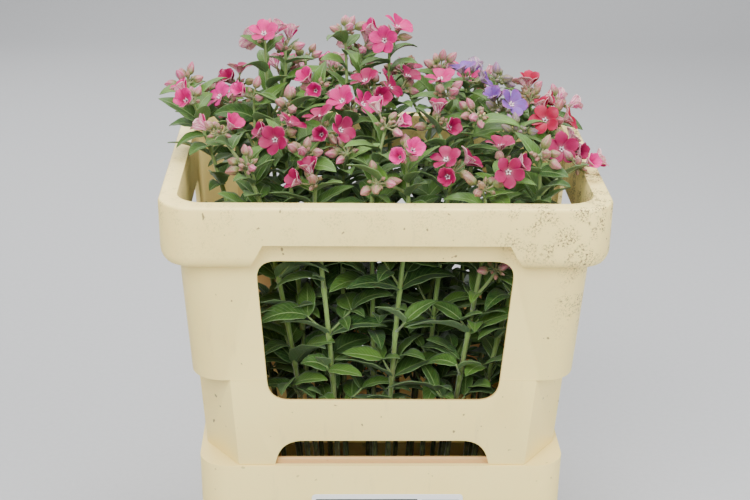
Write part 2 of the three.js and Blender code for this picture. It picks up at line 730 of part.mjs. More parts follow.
function drawBud(stalk) {
  const facet = freeFacet(stalk, 15);
  return {
    facet,
    root: stalk.head,
    axis: facetDirection(stalk, facet),
    stalk: between(6, 11),
    length: BUD.length * between(0.75, 1.1),
    radius: BUD.radius * between(0.85, 1.1),
  };
}

// Blooms first, because they matter most, then buds
for (const [i, plant] of PLANTS.entries()) {
  plant.blooms = [];
  plant.stalks.forEach((stalk, k) => {
    const kind = plant.heads[k][3];
    stalk.taken = new Set();
    for (let n = 0; n < kind.open + kind.half; n++) {
      const draw = () => drawBloom(stalk, n >= kind.open);
      const bloom = placed(draw, bloomSamples, sprayName(i), CLEARANCE.bloom);
      if (!bloom) continue;
      stalk.taken.add(bloom.facet);
      plant.blooms.push(bloom);
    }
  });
}
for (const [i, plant] of PLANTS.entries()) {
  plant.buds = [];
  plant.stalks.forEach((stalk, k) => {
    for (let n = 0; n < plant.heads[k][3].buds; n++) {
      const bud = placed(() => drawBud(stalk), budSamples, sprayName(i), CLEARANCE.bloom);
      if (!bud) continue;
      stalk.taken.add(bud.facet);
      plant.buds.push(bud);
    }
  });
}

function drawBlade(form, root, heading, attempt, stations) {
  const eased = 1 - 0.018 * attempt;
  return {
    root,
    heading: heading + between(-0.35, 0.35),
    pitch: radians(form.pitch + between(-13, 13)),
    droop: radians(form.droop + between(-20, 20)),
    roll: radians(between(-22, 22)),
    length: form.length * between(0.82, 1.12) * eased,
    halfWidth: form.halfWidth * between(0.88, 1.1) * eased,
    fold: form.fold,
    rib: form.rib,
    stations,
  };
}

// Opposite leaves, each pair a quarter turn from the one below
const LEAF_STATIONS = [0.3, 0.68];
const BRACT_STATIONS = [0.28, 0.66];

function leafPair(form, root, heading, owner, stations) {
  const leaves = [0, Math.PI].map((side) => {
    const draw = (attempt) => drawBlade(form, root, heading + side, attempt, stations);
    return placed(draw, bladeSamples, owner, CLEARANCE.leaf);
  });
  return leaves.filter(Boolean);
}

for (const [i, plant] of PLANTS.entries()) {
  plant.bracts = BRACT_NODES.flatMap((share, k) => {
    const heading = plant.heading + (k * Math.PI) / 2;
    return leafPair(BRACT, stalkPoint(plant.stalks[0], share), heading, sprayName(i), BRACT_STATIONS);
  });
}
for (const [i, plant] of PLANTS.entries()) {
  plant.leaves = [];
  plant.nodes = [];
  const first = plant.stemTop - between(14, 40);
  for (let z = first, k = 1; z > LOWEST_NODE; z -= NODE_SPACING, k++) {
    plant.nodes.unshift(z);
    const heading = plant.heading + (k * Math.PI) / 2;
    plant.leaves.push(...leafPair(LEAF, stemPoint(plant, z), heading, stemName(i), LEAF_STATIONS));
  }
}

// The nodes
addNode("bucket", geometryOf(bucketSolid()), plastic(PLASTIC_CREAM));
addNode("collar", geometryOf(collarSolid()), plastic(PLASTIC_CREAM));

const card = new THREE.Mesh(
  new THREE.BoxGeometry(CARD.width, CARD.thickness, CARD.height),
  new THREE.MeshStandardMaterial({ color: 0xf0efea, roughness: 0.7, metalness: 0 }),
);
const cardMiddle = CARD.top - CARD.height / 2;
card.name = "label_card";
card.position.set(
  CARD.centreX, -(BUCKET.halfDepth - bucketInset(cardMiddle)) - GAP - CARD.thickness / 2, cardMiddle,
);
card.rotation.x = Math.atan(BUCKET.footInset / BUCKET.height);
model.add(card);

const stemRadius = (plant, z) => THREE.MathUtils.lerp(STEM.footRadius, STEM.topRadius, z / plant.stemTop);

function growBlade(body, blade) {
  const { side, normal } = bladePoint(blade, 0);
  body.grow(blade.root, bladeDirection(blade), bladeRings(blade), [side, normal], evenTurns(4, 0));
}

// A stem has a short straight stretch at each leaf node, for the leaves to grow from
function stemBody(plant) {
  const nodes = plant.nodes.flatMap((z) => [z - NODE_HALF, z + NODE_HALF]);
  const heights = [FOOT_LEVEL, STEM_BEND, ...nodes, plant.stemTop];
  const points = heights.map((z) => stemPoint(plant, z));
  const body = new Body(tubeRings(points, heights.map((z) => stemRadius(plant, z)), plant.heading));
  plant.leaves.forEach((leaf) => growBlade(body, leaf));
  return body;
}

function stemHole(plant) {
  const bend = stemPoint(plant, STEM_BEND);
  const foot = stemPoint(plant, FOOT_LEVEL);
  const points = [toward(bend, foot, 1.2), bend];
  const radii = [STEM.footRadius + 2 * GAP, stemRadius(plant, STEM_BEND) + 2 * GAP];
  return solidOf(new Body(tubeRings(points, radii, plant.heading)).geometry());
}

let water = lofted([
  bucketLevel(BUCKET.floor + GAP, BUCKET.wall + GAP), bucketLevel(WATER_LEVEL, BUCKET.wall + GAP),
]);
for (const plant of PLANTS) water = water.subtract(stemHole(plant));
const clear = new THREE.MeshStandardMaterial({ color: 0xb8c4bc, roughness: 0.1, metalness: 0 });
addNode("water", geometryOf(water), clear);

// The swollen end of a stalk, where the pedicels meet
function knobRings({ head, axis, heading }) {
  const frame = headedFrame(axis, heading);
  const at = (distance) => add(head, scaled(axis, distance));
  return [
    ringAt(at(-KNOB.drop), frame, KNOB.radius, 5, 0.5),
    ringAt(at(KNOB.rise), frame, 0.8 * KNOB.radius, 5, 0),
    [at(KNOB.tip)],
  ];
}

// The rings of a stalk at given shares of its way, ending in its knob
function stalkRings(stalk, shares, thickness) {
  const points = [...shares.map((share) => stalkPoint(stalk, share)), stalk.end];
  const radii = [...shares.map((share) => THREE.MathUtils.lerp(thickness, STALK_TIP, share)), STALK_TIP];
  return [...tubeRings(points, radii, stalk.heading), ...knobRings(stalk)];
}

function growSideStalk(body, stalk) {
  const frame = headedFrame(unit(minus(stalkPoint(stalk, SIDE_RINGS[1]), stalk.start)), stalk.heading);
  const rings = stalkRings(stalk, SIDE_RINGS, SIDE_STALK);
  body.grow(stalk.start, stalk.out, rings, frame, evenTurns(STALK_SIDES, 0.5));
}

function sprayBody(plant) {
  const [main, ...sides] = plant.stalks;
  const rise = NODE_HALF / length(minus(main.end, main.start));
  const shares = BRACT_NODES.flatMap((share) => [share - rise, share + rise]);
  const body = new Body(stalkRings(main, [0, ...shares, 0.75], STEM.topRadius));
  sides.forEach((stalk) => growSideStalk(body, stalk));
  plant.bracts.forEach((bract) => growBlade(body, bract));
  for (const bloom of plant.blooms) {
    const turns = evenTurns(3, 0).map((turn) => turn + bloom.turn);
    const direction = unit(minus(bloom.centre, bloom.root));
    body.grow(bloom.root, direction, bloomRings(bloom), [bloom.first, bloom.second], turns);
  }
  for (const bud of plant.buds) {
    body.grow(bud.root, bud.axis, budRings(bud), sideFrame(bud.axis), evenTurns(3, 0));
  }
  return body;
}

PLANTS.forEach((plant, i) => addNode(stemName(i), stemBody(plant).geometry(), foliage(LEAF_GREEN)));
PLANTS.forEach((plant, i) => {
  addNode(sprayName(i), sprayBody(plant).geometry(), foliage(PETAL_COLOURS[plant.colour]));
});

export default model;
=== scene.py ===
"""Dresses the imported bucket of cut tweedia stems.

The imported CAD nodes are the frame. The container and every plant are replaced by finer pieces that keep the
nodes' form and place: the plants are arranged by the same seeded rule as in the part's source, so each leaf,
bloom and bud lies where its solid does. Lengths in the sub-assemblies are millimetres, and a piece's mesh is
scaled to metres when it is made.
"""

import logging
import math
from collections.abc import Callable
from dataclasses import dataclass, field
from enum import Enum
from typing import TypeVar

import bpy
import numpy as np
from mathutils import Matrix, Vector

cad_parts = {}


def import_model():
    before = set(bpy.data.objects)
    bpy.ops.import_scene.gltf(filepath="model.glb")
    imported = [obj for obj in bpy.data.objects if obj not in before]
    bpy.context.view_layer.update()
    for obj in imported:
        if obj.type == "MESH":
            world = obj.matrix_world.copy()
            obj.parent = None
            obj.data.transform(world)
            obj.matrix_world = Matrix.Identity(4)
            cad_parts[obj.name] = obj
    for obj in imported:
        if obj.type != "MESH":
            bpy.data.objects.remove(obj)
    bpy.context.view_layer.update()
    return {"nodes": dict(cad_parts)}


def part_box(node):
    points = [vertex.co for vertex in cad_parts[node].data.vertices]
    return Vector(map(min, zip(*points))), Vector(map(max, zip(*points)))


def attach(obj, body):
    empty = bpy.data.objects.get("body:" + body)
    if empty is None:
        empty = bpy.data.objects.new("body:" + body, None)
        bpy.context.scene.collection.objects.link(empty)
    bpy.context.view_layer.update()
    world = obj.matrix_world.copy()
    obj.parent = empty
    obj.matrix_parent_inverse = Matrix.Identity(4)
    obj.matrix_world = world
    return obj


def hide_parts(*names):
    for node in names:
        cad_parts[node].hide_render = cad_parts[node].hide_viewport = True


logging.basicConfig(level=logging.INFO, format="%(message)s")
log = logging.getLogger("tweedia")

METRES = 0.001
BODY = "root"
Array = np.ndarray
Random = np.random.Generator
Colour = tuple[float, float, float, float]
Point = tuple[float, float]
Socket = bpy.types.NodeSocket
Value = Socket | float | Colour | None
Shape = TypeVar("Shape")
Outline = Callable[[float, float], Array]


@dataclass(frozen=True)
class Bucket:
    """Driving dimensions of the bucket."""

    half_width: float = 172.0
    half_depth: float = 122.0
    foot_inset: float = 3.0
    corner: float = 28.0
    height: float = 174.0
    wall: float = 3.6
    floor: float = 4.0
    rim_drop: float = 14.0
    rim_inset: float = 11.0
    lip_height: float = 5.0
    lip_width: float = 3.4
    lip_play: float = 0.6


@dataclass(frozen=True)
class Collar:
    """Driving dimensions of the windowed collar."""

    bottom: float = 174.3
    top: float = 440.0
    shoulder: float = 265.0
    wall: float = 4.5
    half_width_at_foot: float = 169.8
    lean: float = 0.0705
    depth_less: float = 50.0
    lower_inset: float = 3.0
    corner: float = 30.0
    chamfer_x: float = 33.0
    chamfer_y: float = 47.0

    def half_width(self, z: float) -> float:
        """Half width of the outer face at a height."""
        return self.half_width_at_foot + self.lean * (z - self.bottom)


@dataclass(frozen=True)
class Band:
    """The stiff band round the collar's rim."""

    half_width: float = 200.0
    half_depth: float = 150.0
    corner: float = 32.0
    bottom: float = 383.0
    recess_bottom: float = 405.5
    recess_half_top: float = 108.0
    recess_half_bottom: float = 122.5
    side_recess_half: float = 62.0


@dataclass(frozen=True)
class Window:
    """An opening in a wall, with its half widths at its lower and upper edge."""

    bottom: float
    top: float
    half_bottom: float
    half_top: float
    radius: float


BUCKET = Bucket()
COLLAR = Collar()
BAND = Band()
FRONT_WINDOW = Window(243.5, 385.5, 105, 115, 19)
SIDE_WINDOW = Window(243.5, 395, 62, 68, 19)
FRONT_SLOT = Window(150, 200.4, 106, 94, 20)
SIDE_SLOT = Window(150, 200.4, 62, 52, 16)
OPENINGS = ((FRONT_WINDOW, False), (SIDE_WINDOW, True), (FRONT_SLOT, False), (SIDE_SLOT, True))
GAP = 0.3
FOOT_LEVEL = BUCKET.floor + 3 * GAP
WATER_LEVEL = 70


@dataclass(frozen=True)
class StemForm:
    """Driving dimensions shared by all stems."""

    foot_radius: float = 3.0
    top_radius: float = 2.3
    foot_spread: float = 0.62
    spread_height: float = 405.0
    sway: float = 9.0
    foot_shift: float = 8.0
    node_spacing: float = 46.0
    lowest_node: float = 222.0
    stalk_tip: float = 1.3
    side_stalk: float = 1.6


@dataclass(frozen=True)
class BladeForm:
    """A kind of leaf. Angles are in degrees."""

    length: float
    half_width: float
    pitch: float
    droop: float
    fold: float


@dataclass(frozen=True)
class BloomForm:
    """Driving dimensions of a bloom, a bud, a pedicel and the knob where pedicels meet."""

    radius: float = 16.0
    notch: float = 7.4
    tube: float = 3.6
    bud_length: float = 13.0
    bud_radius: float = 3.2
    unripe: float = 9.0
    pedicel: float = 13.0
    pedicel_radius: float = 0.85
    knob_neck: float = 3.4


STEM = StemForm()
LEAF = BladeForm(68, 13.5, 42, 48, 0.25)
BRACT = BladeForm(48, 8, 46, 44, 0.3)
YOUNG = BladeForm(42, 8.4, 46, 42, 0.34)
SHOOT = BladeForm(46, 10.5, 36, 46, 0.28)
FLOWER = BloomForm()
PETALS = 5
OVERHANG_SLENDER, OVERHANG_LEAN = 0.18, 0.7
FACETS, BLOOM_FACETS = 15, 10

# Leaves that hang over the rim: the plant, the share of its first stalk, the heading and the length.
OVERHANG = (
    (9, 0.80, 3.05, 62), (9, 0.84, 3.45, 62), (9, 0.88, 3.85, 56), (9, 0.72, 2.55, 56), (9, 0.92, 2.7, 50),
    (9, 0.66, 3.5, 56), (10, 0.80, 2.9, 50), (10, 0.88, 3.5, 46), (0, 0.80, 3.3, 46), (0, 0.86, 3.8, 44),
    (0, 0.92, 2.8, 44), (24, 0.80, 3.0, 50), (24, 0.88, 3.6, 46), (23, 0.75, 0.2, 46), (23, 0.85, -0.3, 46),
    (6, 0.80, -0.3, 44), (14, 0.80, 0.3, 42), (14, 0.88, -0.3, 42), (15, 0.85, -0.1, 42),
)

# Shares of the first stalk at which bracts and side stalks leave it, and how the side stalks turn.
BRACT_NODES = (0.1, 0.42)
FORKS = (0.42, 0.1)
FORK_TURNS = (0.0, math.pi / 2)

# Lean of each row of a head's facets in degrees, and the play in it.
FACET_LEANS = (36, 68, 86)
FACET_PLAY = 6

# Distances that pieces keep, how much of the walls' corners is cut off, how often each piece is tried, the
# seeds of the random numbers, and the owner number of the first spray.
CLEAR_LEAF, CLEAR_BLOOM, CLEAR_OWN, CLEAR_WALL = 7, 6, 4, 9
CLEAR_SMALL = 2.6
CORNER_X, CORNER_Y = 34, 44
TRIES, SMALL_TRIES = 24, 7
SEED = 9
STEM_SEED, SPRAY_SEED, OVERHANG_SEED = 1000, 2000, 4000
FIRST_SPRAY = 100

# Shares of a stalk at which young leaves grow.
YOUNG_LEAVES = (0.06, 0.09, 0.26, 0.29, 0.5, 0.53, 0.62, 0.66, 0.74, 0.78, 0.84, 0.88, 0.93, 0.96)

# Shares of a side shoot at which its leaves grow, and how each turns from the shoot's heading.
SHOOT_LEAVES = ((1.0, 0.0), (0.95, 1.4), (0.95, -1.4), (0.62, 1.1), (0.62, -1.1))

# The card's sections: how far each is from its middle, and how much narrower it is.
CARD_SECTIONS = ((-0.4, 0.25), (-0.15, 0), (0.15, 0), (0.4, 0.25))

# The card's panels in metres: their sides, and their lower and upper edges.
DARK_PANEL, LIGHT_PANEL = (-0.062, 0.034), (0.038, 0.073)
PANEL_LOW, PANEL_HIGH = 0.060, 0.139


class Head(Enum):
    """What a head carries: open blooms, half-open blooms and buds."""

    OPEN = (2, 1, 2)
    SINGLE = (1, 0, 3)
    CUPS = (0, 2, 2)
    BUDS = (0, 0, 5)


class Petal(Enum):
    """Petal colours, linear: the face and the back."""

    MAGENTA = ((0.25, 0.0, 0.055), (0.46, 0.045, 0.20))
    PINK = ((0.47, 0.003, 0.135), (0.62, 0.13, 0.30))
    PALE = ((0.60, 0.018, 0.21), (0.70, 0.26, 0.36))
    VIOLET = ((0.15, 0.065, 0.32), (0.30, 0.14, 0.38))
    RED = ((0.33, 0.0, 0.030), (0.50, 0.08, 0.15))


@dataclass
class Stalk:
    """A curved stalk that ends in one head."""

    start: Array
    direction: Array
    end: Array
    head: Array
    axis: Array
    heading: float
    taken: set[int] = field(default_factory=set)

    def point(self, share: float) -> Array:
        """The point at a share of the stalk's way.

        Args:
            share: of its length.

        Returns:
            The point.
        """
        bend = self.start + self.direction * 0.5 * np.linalg.norm(self.end - self.start)
        low = self.start + (bend - self.start) * share
        high = bend + (self.end - bend) * share
        return low + (high - low) * share

    def facet(self, facet: int, turn_play: float, lean_play: float) -> Array:
        """The way from the head to one facet of its knob. The first two rows start half a step later.

        Args:
            facet: its number, from the top row.
            turn_play: added to its turn, in radians.
            lean_play: added to its lean, in degrees.

        Returns:
            The direction.
        """
        row = facet // PETALS
        first, second = headed_frame(self.axis, self.heading)
        turn = 2 * math.pi * (facet % PETALS + (0 if row == 2 else 0.5)) / PETALS + turn_play
        lean = math.radians(FACET_LEANS[row] + lean_play)
        out = first * math.cos(turn) + second * math.sin(turn)
        return unit(self.axis * math.cos(lean) + out * math.sin(lean))


@dataclass
class Bloom:
    """A bloom's place, frame and form."""

    facet: int
    root: Array
    centre: Array
    axis: Array
    first: Array
    second: Array
    turn: float
    cup: float
    size: float
    half_open: bool


@dataclass
class Bud:
    """A bud's place and form."""

    facet: int
    root: Array
    axis: Array
    stalk: float
    length: float
    radius: float


@dataclass
class Blade:
    """A leaf's place and form. Angles are in radians."""

    root: Array
    heading: float
    pitch: float
    droop: float
    roll: float
    length: float
    half_width: float
    fold: float

    def frame(self, share: Array) -> tuple[Array, Array, Array]:
        """Midrib points, side directions and normals at shares of the length.

        Args:
            share: shares of the length, from the root.

        Returns:
            The three as rows of x, y and z.
        """
        share = np.atleast_1d(share)
        pitch = self.pitch - self.droop * share
        reach = self.length * (math.sin(self.pitch) - np.sin(pitch)) / self.droop
        rise = self.length * (np.cos(pitch) - math.cos(self.pitch)) / self.droop
        cosine, sine = math.cos(self.heading), math.sin(self.heading)
        normal = np.stack([-cosine * np.sin(pitch), -sine * np.sin(pitch), np.cos(pitch)], axis=1)
        level = np.array([-sine, cosine, 0.0])
        middle = self.root + np.stack([cosine * reach, sine * reach, rise], axis=1)
        side = level * math.cos(self.roll) + normal * math.sin(self.roll)
        upright = normal * math.cos(self.roll) - level * math.sin(self.roll)
        return middle, side, upright

    def width(self, share: Array) -> Array:
        """Half widths at shares of the length."""
        return self.half_width * np.sin(math.pi * np.atleast_1d(share) ** 0.7).clip(0) ** 0.8

    def edge(self, share: Array, sign: float) -> Array:
        """Points so far towards one edge, at shares of the length.

        Args:
            share: shares of the length.
            sign: which edge, and how far out to it.

        Returns:
            The points as rows.
        """
        middle, side, normal = self.frame(share)
        width = self.width(share)[:, None]
        return middle + sign * width * side + self.fold * width * normal


@dataclass
class Plant:
    """One cut stem: where it reaches rim height, its colour, and its heads as (x, y, z, kind)."""

    top: tuple[float, float]
    colour: Petal
    rows: list[tuple[float, float, float, Head]]
    heading: float | None = None
    sway: Array | None = None
    foot: Array | None = None
    stem_top: float = 0.0
    stalks: list[Stalk] = field(default_factory=list)
    blooms: list[Bloom] = field(default_factory=list)
    buds: list[Bud] = field(default_factory=list)
    bracts: list[Blade] = field(default_factory=list)
    leaves: list[Blade] = field(default_factory=list)
    nodes: list[float] = field(default_factory=list)
    index: int = 0

    @property
    def spray(self) -> int:
        """The owner number of its spray. Its stem's is its own number."""
        return FIRST_SPRAY + self.index

    def node(self, kind: str) -> str:
        """The name of its CAD node of a kind."""
        return f"{kind}_{self.index + 1:02d}"

    def stem_point(self, z: float) -> Array:
        """The stem's middle at a height: it fans out from its foot and sways a little.

        Args:
            z: the height.

        Returns:
            The point.
        """
        rise = z / STEM.spread_height
        spread = STEM.foot_spread + (1 - STEM.foot_spread) * rise**1.5
        level = np.array(self.top) * spread + self.sway * math.sin(math.pi * rise) + self.foot * (1 - rise)
        return np.array([level[0], level[1], z])

    def stem_radius(self, z: float) -> float:
        """The stem's radius at a height."""
        share = z / self.stem_top
        return STEM.foot_radius + (STEM.top_radius - STEM.foot_radius) * share


def planting() -> list[Plant]:
    """The plants in their order.

    Returns:
        Every plant, with its heads at the places that the photograph shows.
    """
    return [
        Plant((-108, -82), Petal.PINK, [(-148, -70, 482, Head.CUPS), (-122, -90, 458, Head.BUDS)]),
        Plant((-62, -90), Petal.MAGENTA, [(-62, -106, 448, Head.CUPS), (-72, -88, 468, Head.BUDS)], 1.5),
        Plant((-12, -86), Petal.PALE, [(0, -76, 492, Head.CUPS)]),
        Plant((20, -92), Petal.PALE, [(17, -98, 472, Head.CUPS), (-8, -108, 450, Head.BUDS)]),
        Plant((56, -76), Petal.MAGENTA, [(60, -94, 456, Head.OPEN), (47, -56, 487, Head.CUPS)], 1.3),
        Plant(
            (95, -94), Petal.MAGENTA,
            [(104, -98, 464, Head.OPEN), (86, -114, 446, Head.BUDS), (101, -102, 365, Head.SINGLE)], 1.7,
        ),
        Plant((136, -82), Petal.PALE, [(138, -84, 468, Head.BUDS), (177, -56, 448, Head.CUPS)]),
        Plant((-84, -48), Petal.MAGENTA, [(-95, -62, 478, Head.OPEN), (-54, -58, 482, Head.OPEN)]),
        Plant((-38, -46), Petal.PINK, [(-34, -74, 466, Head.BUDS), (-31, -22, 492, Head.OPEN)]),
        Plant((-150, -8), Petal.PINK, [(-177, -6, 492, Head.CUPS), (-186, 42, 498, Head.BUDS)], 1.45),
        Plant((-116, 6), Petal.PALE, [(-122, 4, 495, Head.CUPS), (-142, 28, 482, Head.SINGLE)]),
        Plant((-8, -6), Petal.MAGENTA, [(-10, -6, 502, Head.OPEN), (16, 22, 498, Head.SINGLE)]),
        Plant((62, -30), Petal.PINK, [(57, -22, 506, Head.SINGLE), (84, -40, 492, Head.BUDS)]),
        Plant((108, -14), Petal.VIOLET, [(110, -2, 486, Head.OPEN), (122, -42, 476, Head.BUDS)]),
        Plant((140, 18), Petal.RED, [(140, 20, 490, Head.CUPS), (160, 2, 474, Head.OPEN)]),
        Plant((154, -36), Petal.MAGENTA, [(166, -26, 458, Head.OPEN)]),
        Plant((-68, 6), Petal.PINK, [(-61, 14, 503, Head.CUPS), (-88, -18, 492, Head.BUDS)]),
        Plant((-104, 44), Petal.PINK, [(-112, 30, 543, Head.OPEN), (-93, 40, 531, Head.CUPS)]),
        Plant((-74, 62), Petal.PALE, [(-74, 62, 516, Head.BUDS), (-44, 72, 500, Head.CUPS)]),
        Plant((-34, 32), Petal.PALE, [(-36, 36, 549, Head.BUDS), (-20, 50, 528, Head.CUPS)]),
        Plant((10, 32), Petal.PINK, [(6, 20, 549, Head.OPEN)]),
        Plant((46, 60), Petal.PINK, [(56, 50, 511, Head.BUDS), (21, 64, 504, Head.BUDS)]),
        Plant((88, 40), Petal.VIOLET, [(80, 40, 502, Head.OPEN), (112, 56, 498, Head.BUDS)]),
        Plant((144, 64), Petal.PINK, [(176, 78, 468, Head.CUPS), (146, 70, 480, Head.SINGLE)]),
        Plant((-138, 74), Petal.MAGENTA, [(-142, 92, 482, Head.OPEN), (-166, 66, 476, Head.BUDS)]),
        Plant((-72, 98), Petal.PINK, [(-62, 106, 490, Head.CUPS), (-98, 92, 492, Head.OPEN)]),
        Plant((-10, 90), Petal.MAGENTA, [(22, 106, 484, Head.OPEN), (-16, 96, 494, Head.BUDS)]),
        Plant((78, 98), Petal.PINK, [(96, 104, 480, Head.OPEN), (60, 94, 488, Head.CUPS)]),
    ]


def unit(vector: Array) -> Array:
    """The vector at length 1."""
    return vector / np.linalg.norm(vector)


def side_frame(axis: Array) -> tuple[Array, Array]:
    """Two directions square to an axis, the first of them level.

    Args:
        axis: a direction of length 1.

    Returns:
        The two directions.
    """
    flat = math.hypot(axis[0], axis[1])
    level = np.array([1.0, 0, 0]) if flat < 1e-6 else np.array([-axis[1], axis[0], 0]) / flat
    return level, np.cross(axis, level)


def headed_frame(axis: Array, heading: float) -> tuple[Array, Array]:
    """Two directions square to an axis, the first of them nearest to a level heading.

    Args:
        axis: a direction of length 1.
        heading: an angle from X.

    Returns:
        The two directions.
    """
    level = np.array([math.cos(heading), math.sin(heading), 0])
    first = unit(level - axis * (level @ axis))
    return first, np.cross(axis, first)


class RandomSource:
    """Repeatable random numbers, the same as those of the part's source."""

    MASK = 0xFFFFFFFF
    STEP = 0x6D2B79F5
    RANGE = 4294967296

    def __init__(self, seed: int) -> None:
        """Starts from a seed."""
        self.state = seed & self.MASK

    def draw(self) -> float:
        """The next number from 0 to 1.

        Returns:
            The number.
        """
        self.state = (self.state + self.STEP) & self.MASK
        mixed = ((self.state ^ (self.state >> 15)) * (1 | self.state)) & self.MASK
        mixed = ((mixed + (((mixed ^ (mixed >> 7)) * (61 | mixed)) & self.MASK)) & self.MASK) ^ mixed
        return ((mixed ^ (mixed >> 14)) & self.MASK) / self.RANGE

    def between(self, low: float, high: float) -> float:
        """The next number between two limits."""
        return low + (high - low) * self.draw()


class Crowd:
    """Everything already placed, as points that each belong to a node."""

    def __init__(self, room: int = 90000) -> None:
        """Makes room for so many points.

        Args:
            room: how many.
        """
        self.points = np.empty((room, 3))
        self.owners = np.empty(room, dtype=int)
        self.count = 0

    def add(self, points: Array, owner: int) -> None:
        """Adds a piece's points under its owner.

        Args:
            points: rows of x, y and z.
            owner: the node's number.
        """
        end = self.count + len(points)
        self.points[self.count:end] = points
        self.owners[self.count:end] = owner
        self.count = end

    def clear(self, samples: Array, owner: int, distance: float) -> bool:
        """True where the samples keep a distance from other nodes, and a smaller one from their own.

        Args:
            samples: points that stand for a shape.
            owner: the node that it belongs to.
            distance: how far it keeps from other nodes.

        Returns:
            Whether there is room.
        """
        reach = max(distance, CLEAR_OWN)
        points = self.points[:self.count]
        near = ((points > samples.min(0) - reach) & (points < samples.max(0) + reach)).all(1)
        if not near.any():
            return True
        limit = np.where(self.owners[:self.count][near] == owner, CLEAR_OWN, distance)
        apart = ((points[near][:, None] - samples[None]) ** 2).sum(2)
        return bool((apart >= limit[:, None] ** 2).all())


def inside_walls(points: Array) -> Array:
    """True for points that are above the rim, or inside the collar and clear of its walls and corners.

    Args:
        points: rows of x, y and z.

    Returns:
        One truth value for each point.
    """
    x, y, z = np.abs(points[:, 0]), np.abs(points[:, 1]), points[:, 2]
    half_x = COLLAR.half_width(z) - COLLAR.lower_inset - COLLAR.wall - CLEAR_WALL
    half_y = half_x + COLLAR.lower_inset - COLLAR.depth_less
    corner = np.maximum(x - half_x + CORNER_X, 0) / CORNER_X + np.maximum(y - half_y + CORNER_Y, 0) / CORNER_Y
    return (z > COLLAR.top + CLEAR_LEAF) | ((x < half_x) & (y < half_y) & (corner < 1))


def bloom_point(bloom: Bloom, distance: float, turn: float) -> Array:
    """A point so far out from a bloom's centre, at a turn about its axis, raised by its cup.

    Args:
        bloom: the bloom.
        distance: how far out.
        turn: from its first petal.

    Returns:
        The point.
    """
    angle = bloom.turn + turn
    out = bloom.first * math.cos(angle) + bloom.second * math.sin(angle)
    return bloom.centre + distance * (out * math.cos(bloom.cup) + bloom.axis * math.sin(bloom.cup))


def bloom_samples(bloom: Bloom) -> Array:
    """Points that stand for a bloom when the arrangement is made.

    Args:
        bloom: the bloom.

    Returns:
        Points of its middle, pedicel and petals.
    """
    points = [bloom.centre, bloom.root + 0.8 * (bloom.centre - bloom.root)]
    between = (0.9 * FLOWER.notch, math.pi / PETALS)
    spots = [(4.5, 0), (8.5, 0), (FLOWER.radius, 0), (12, 0.36), (12, -0.36), between]
    for petal in range(PETALS):
        turn = 2 * math.pi * petal / PETALS
        points += [bloom_point(bloom, distance * bloom.size, turn + aside) for distance, aside in spots]
    return np.array(points)


def bud_samples(bud: Bud) -> Array:
    """Points that stand for a bud when the arrangement is made."""
    shares = np.array([0.5, 0.62, 0.75, 0.88, 1])[:, None]
    return bud.root + bud.axis * (bud.stalk + bud.length) * shares


def blade_samples(blade: Blade) -> Array:
    """Points that stand for a leaf when the arrangement is made.

    Args:
        blade: the leaf.

    Returns:
        Points of its midrib and of both margins.
    """
    shares = np.arange(2, 10) / 10
    middle, _, _ = blade.frame(shares)
    tip, _, _ = blade.frame(1.0)
    return np.concatenate([tip, middle, blade.edge(shares, 0.85), blade.edge(shares, -0.85)])


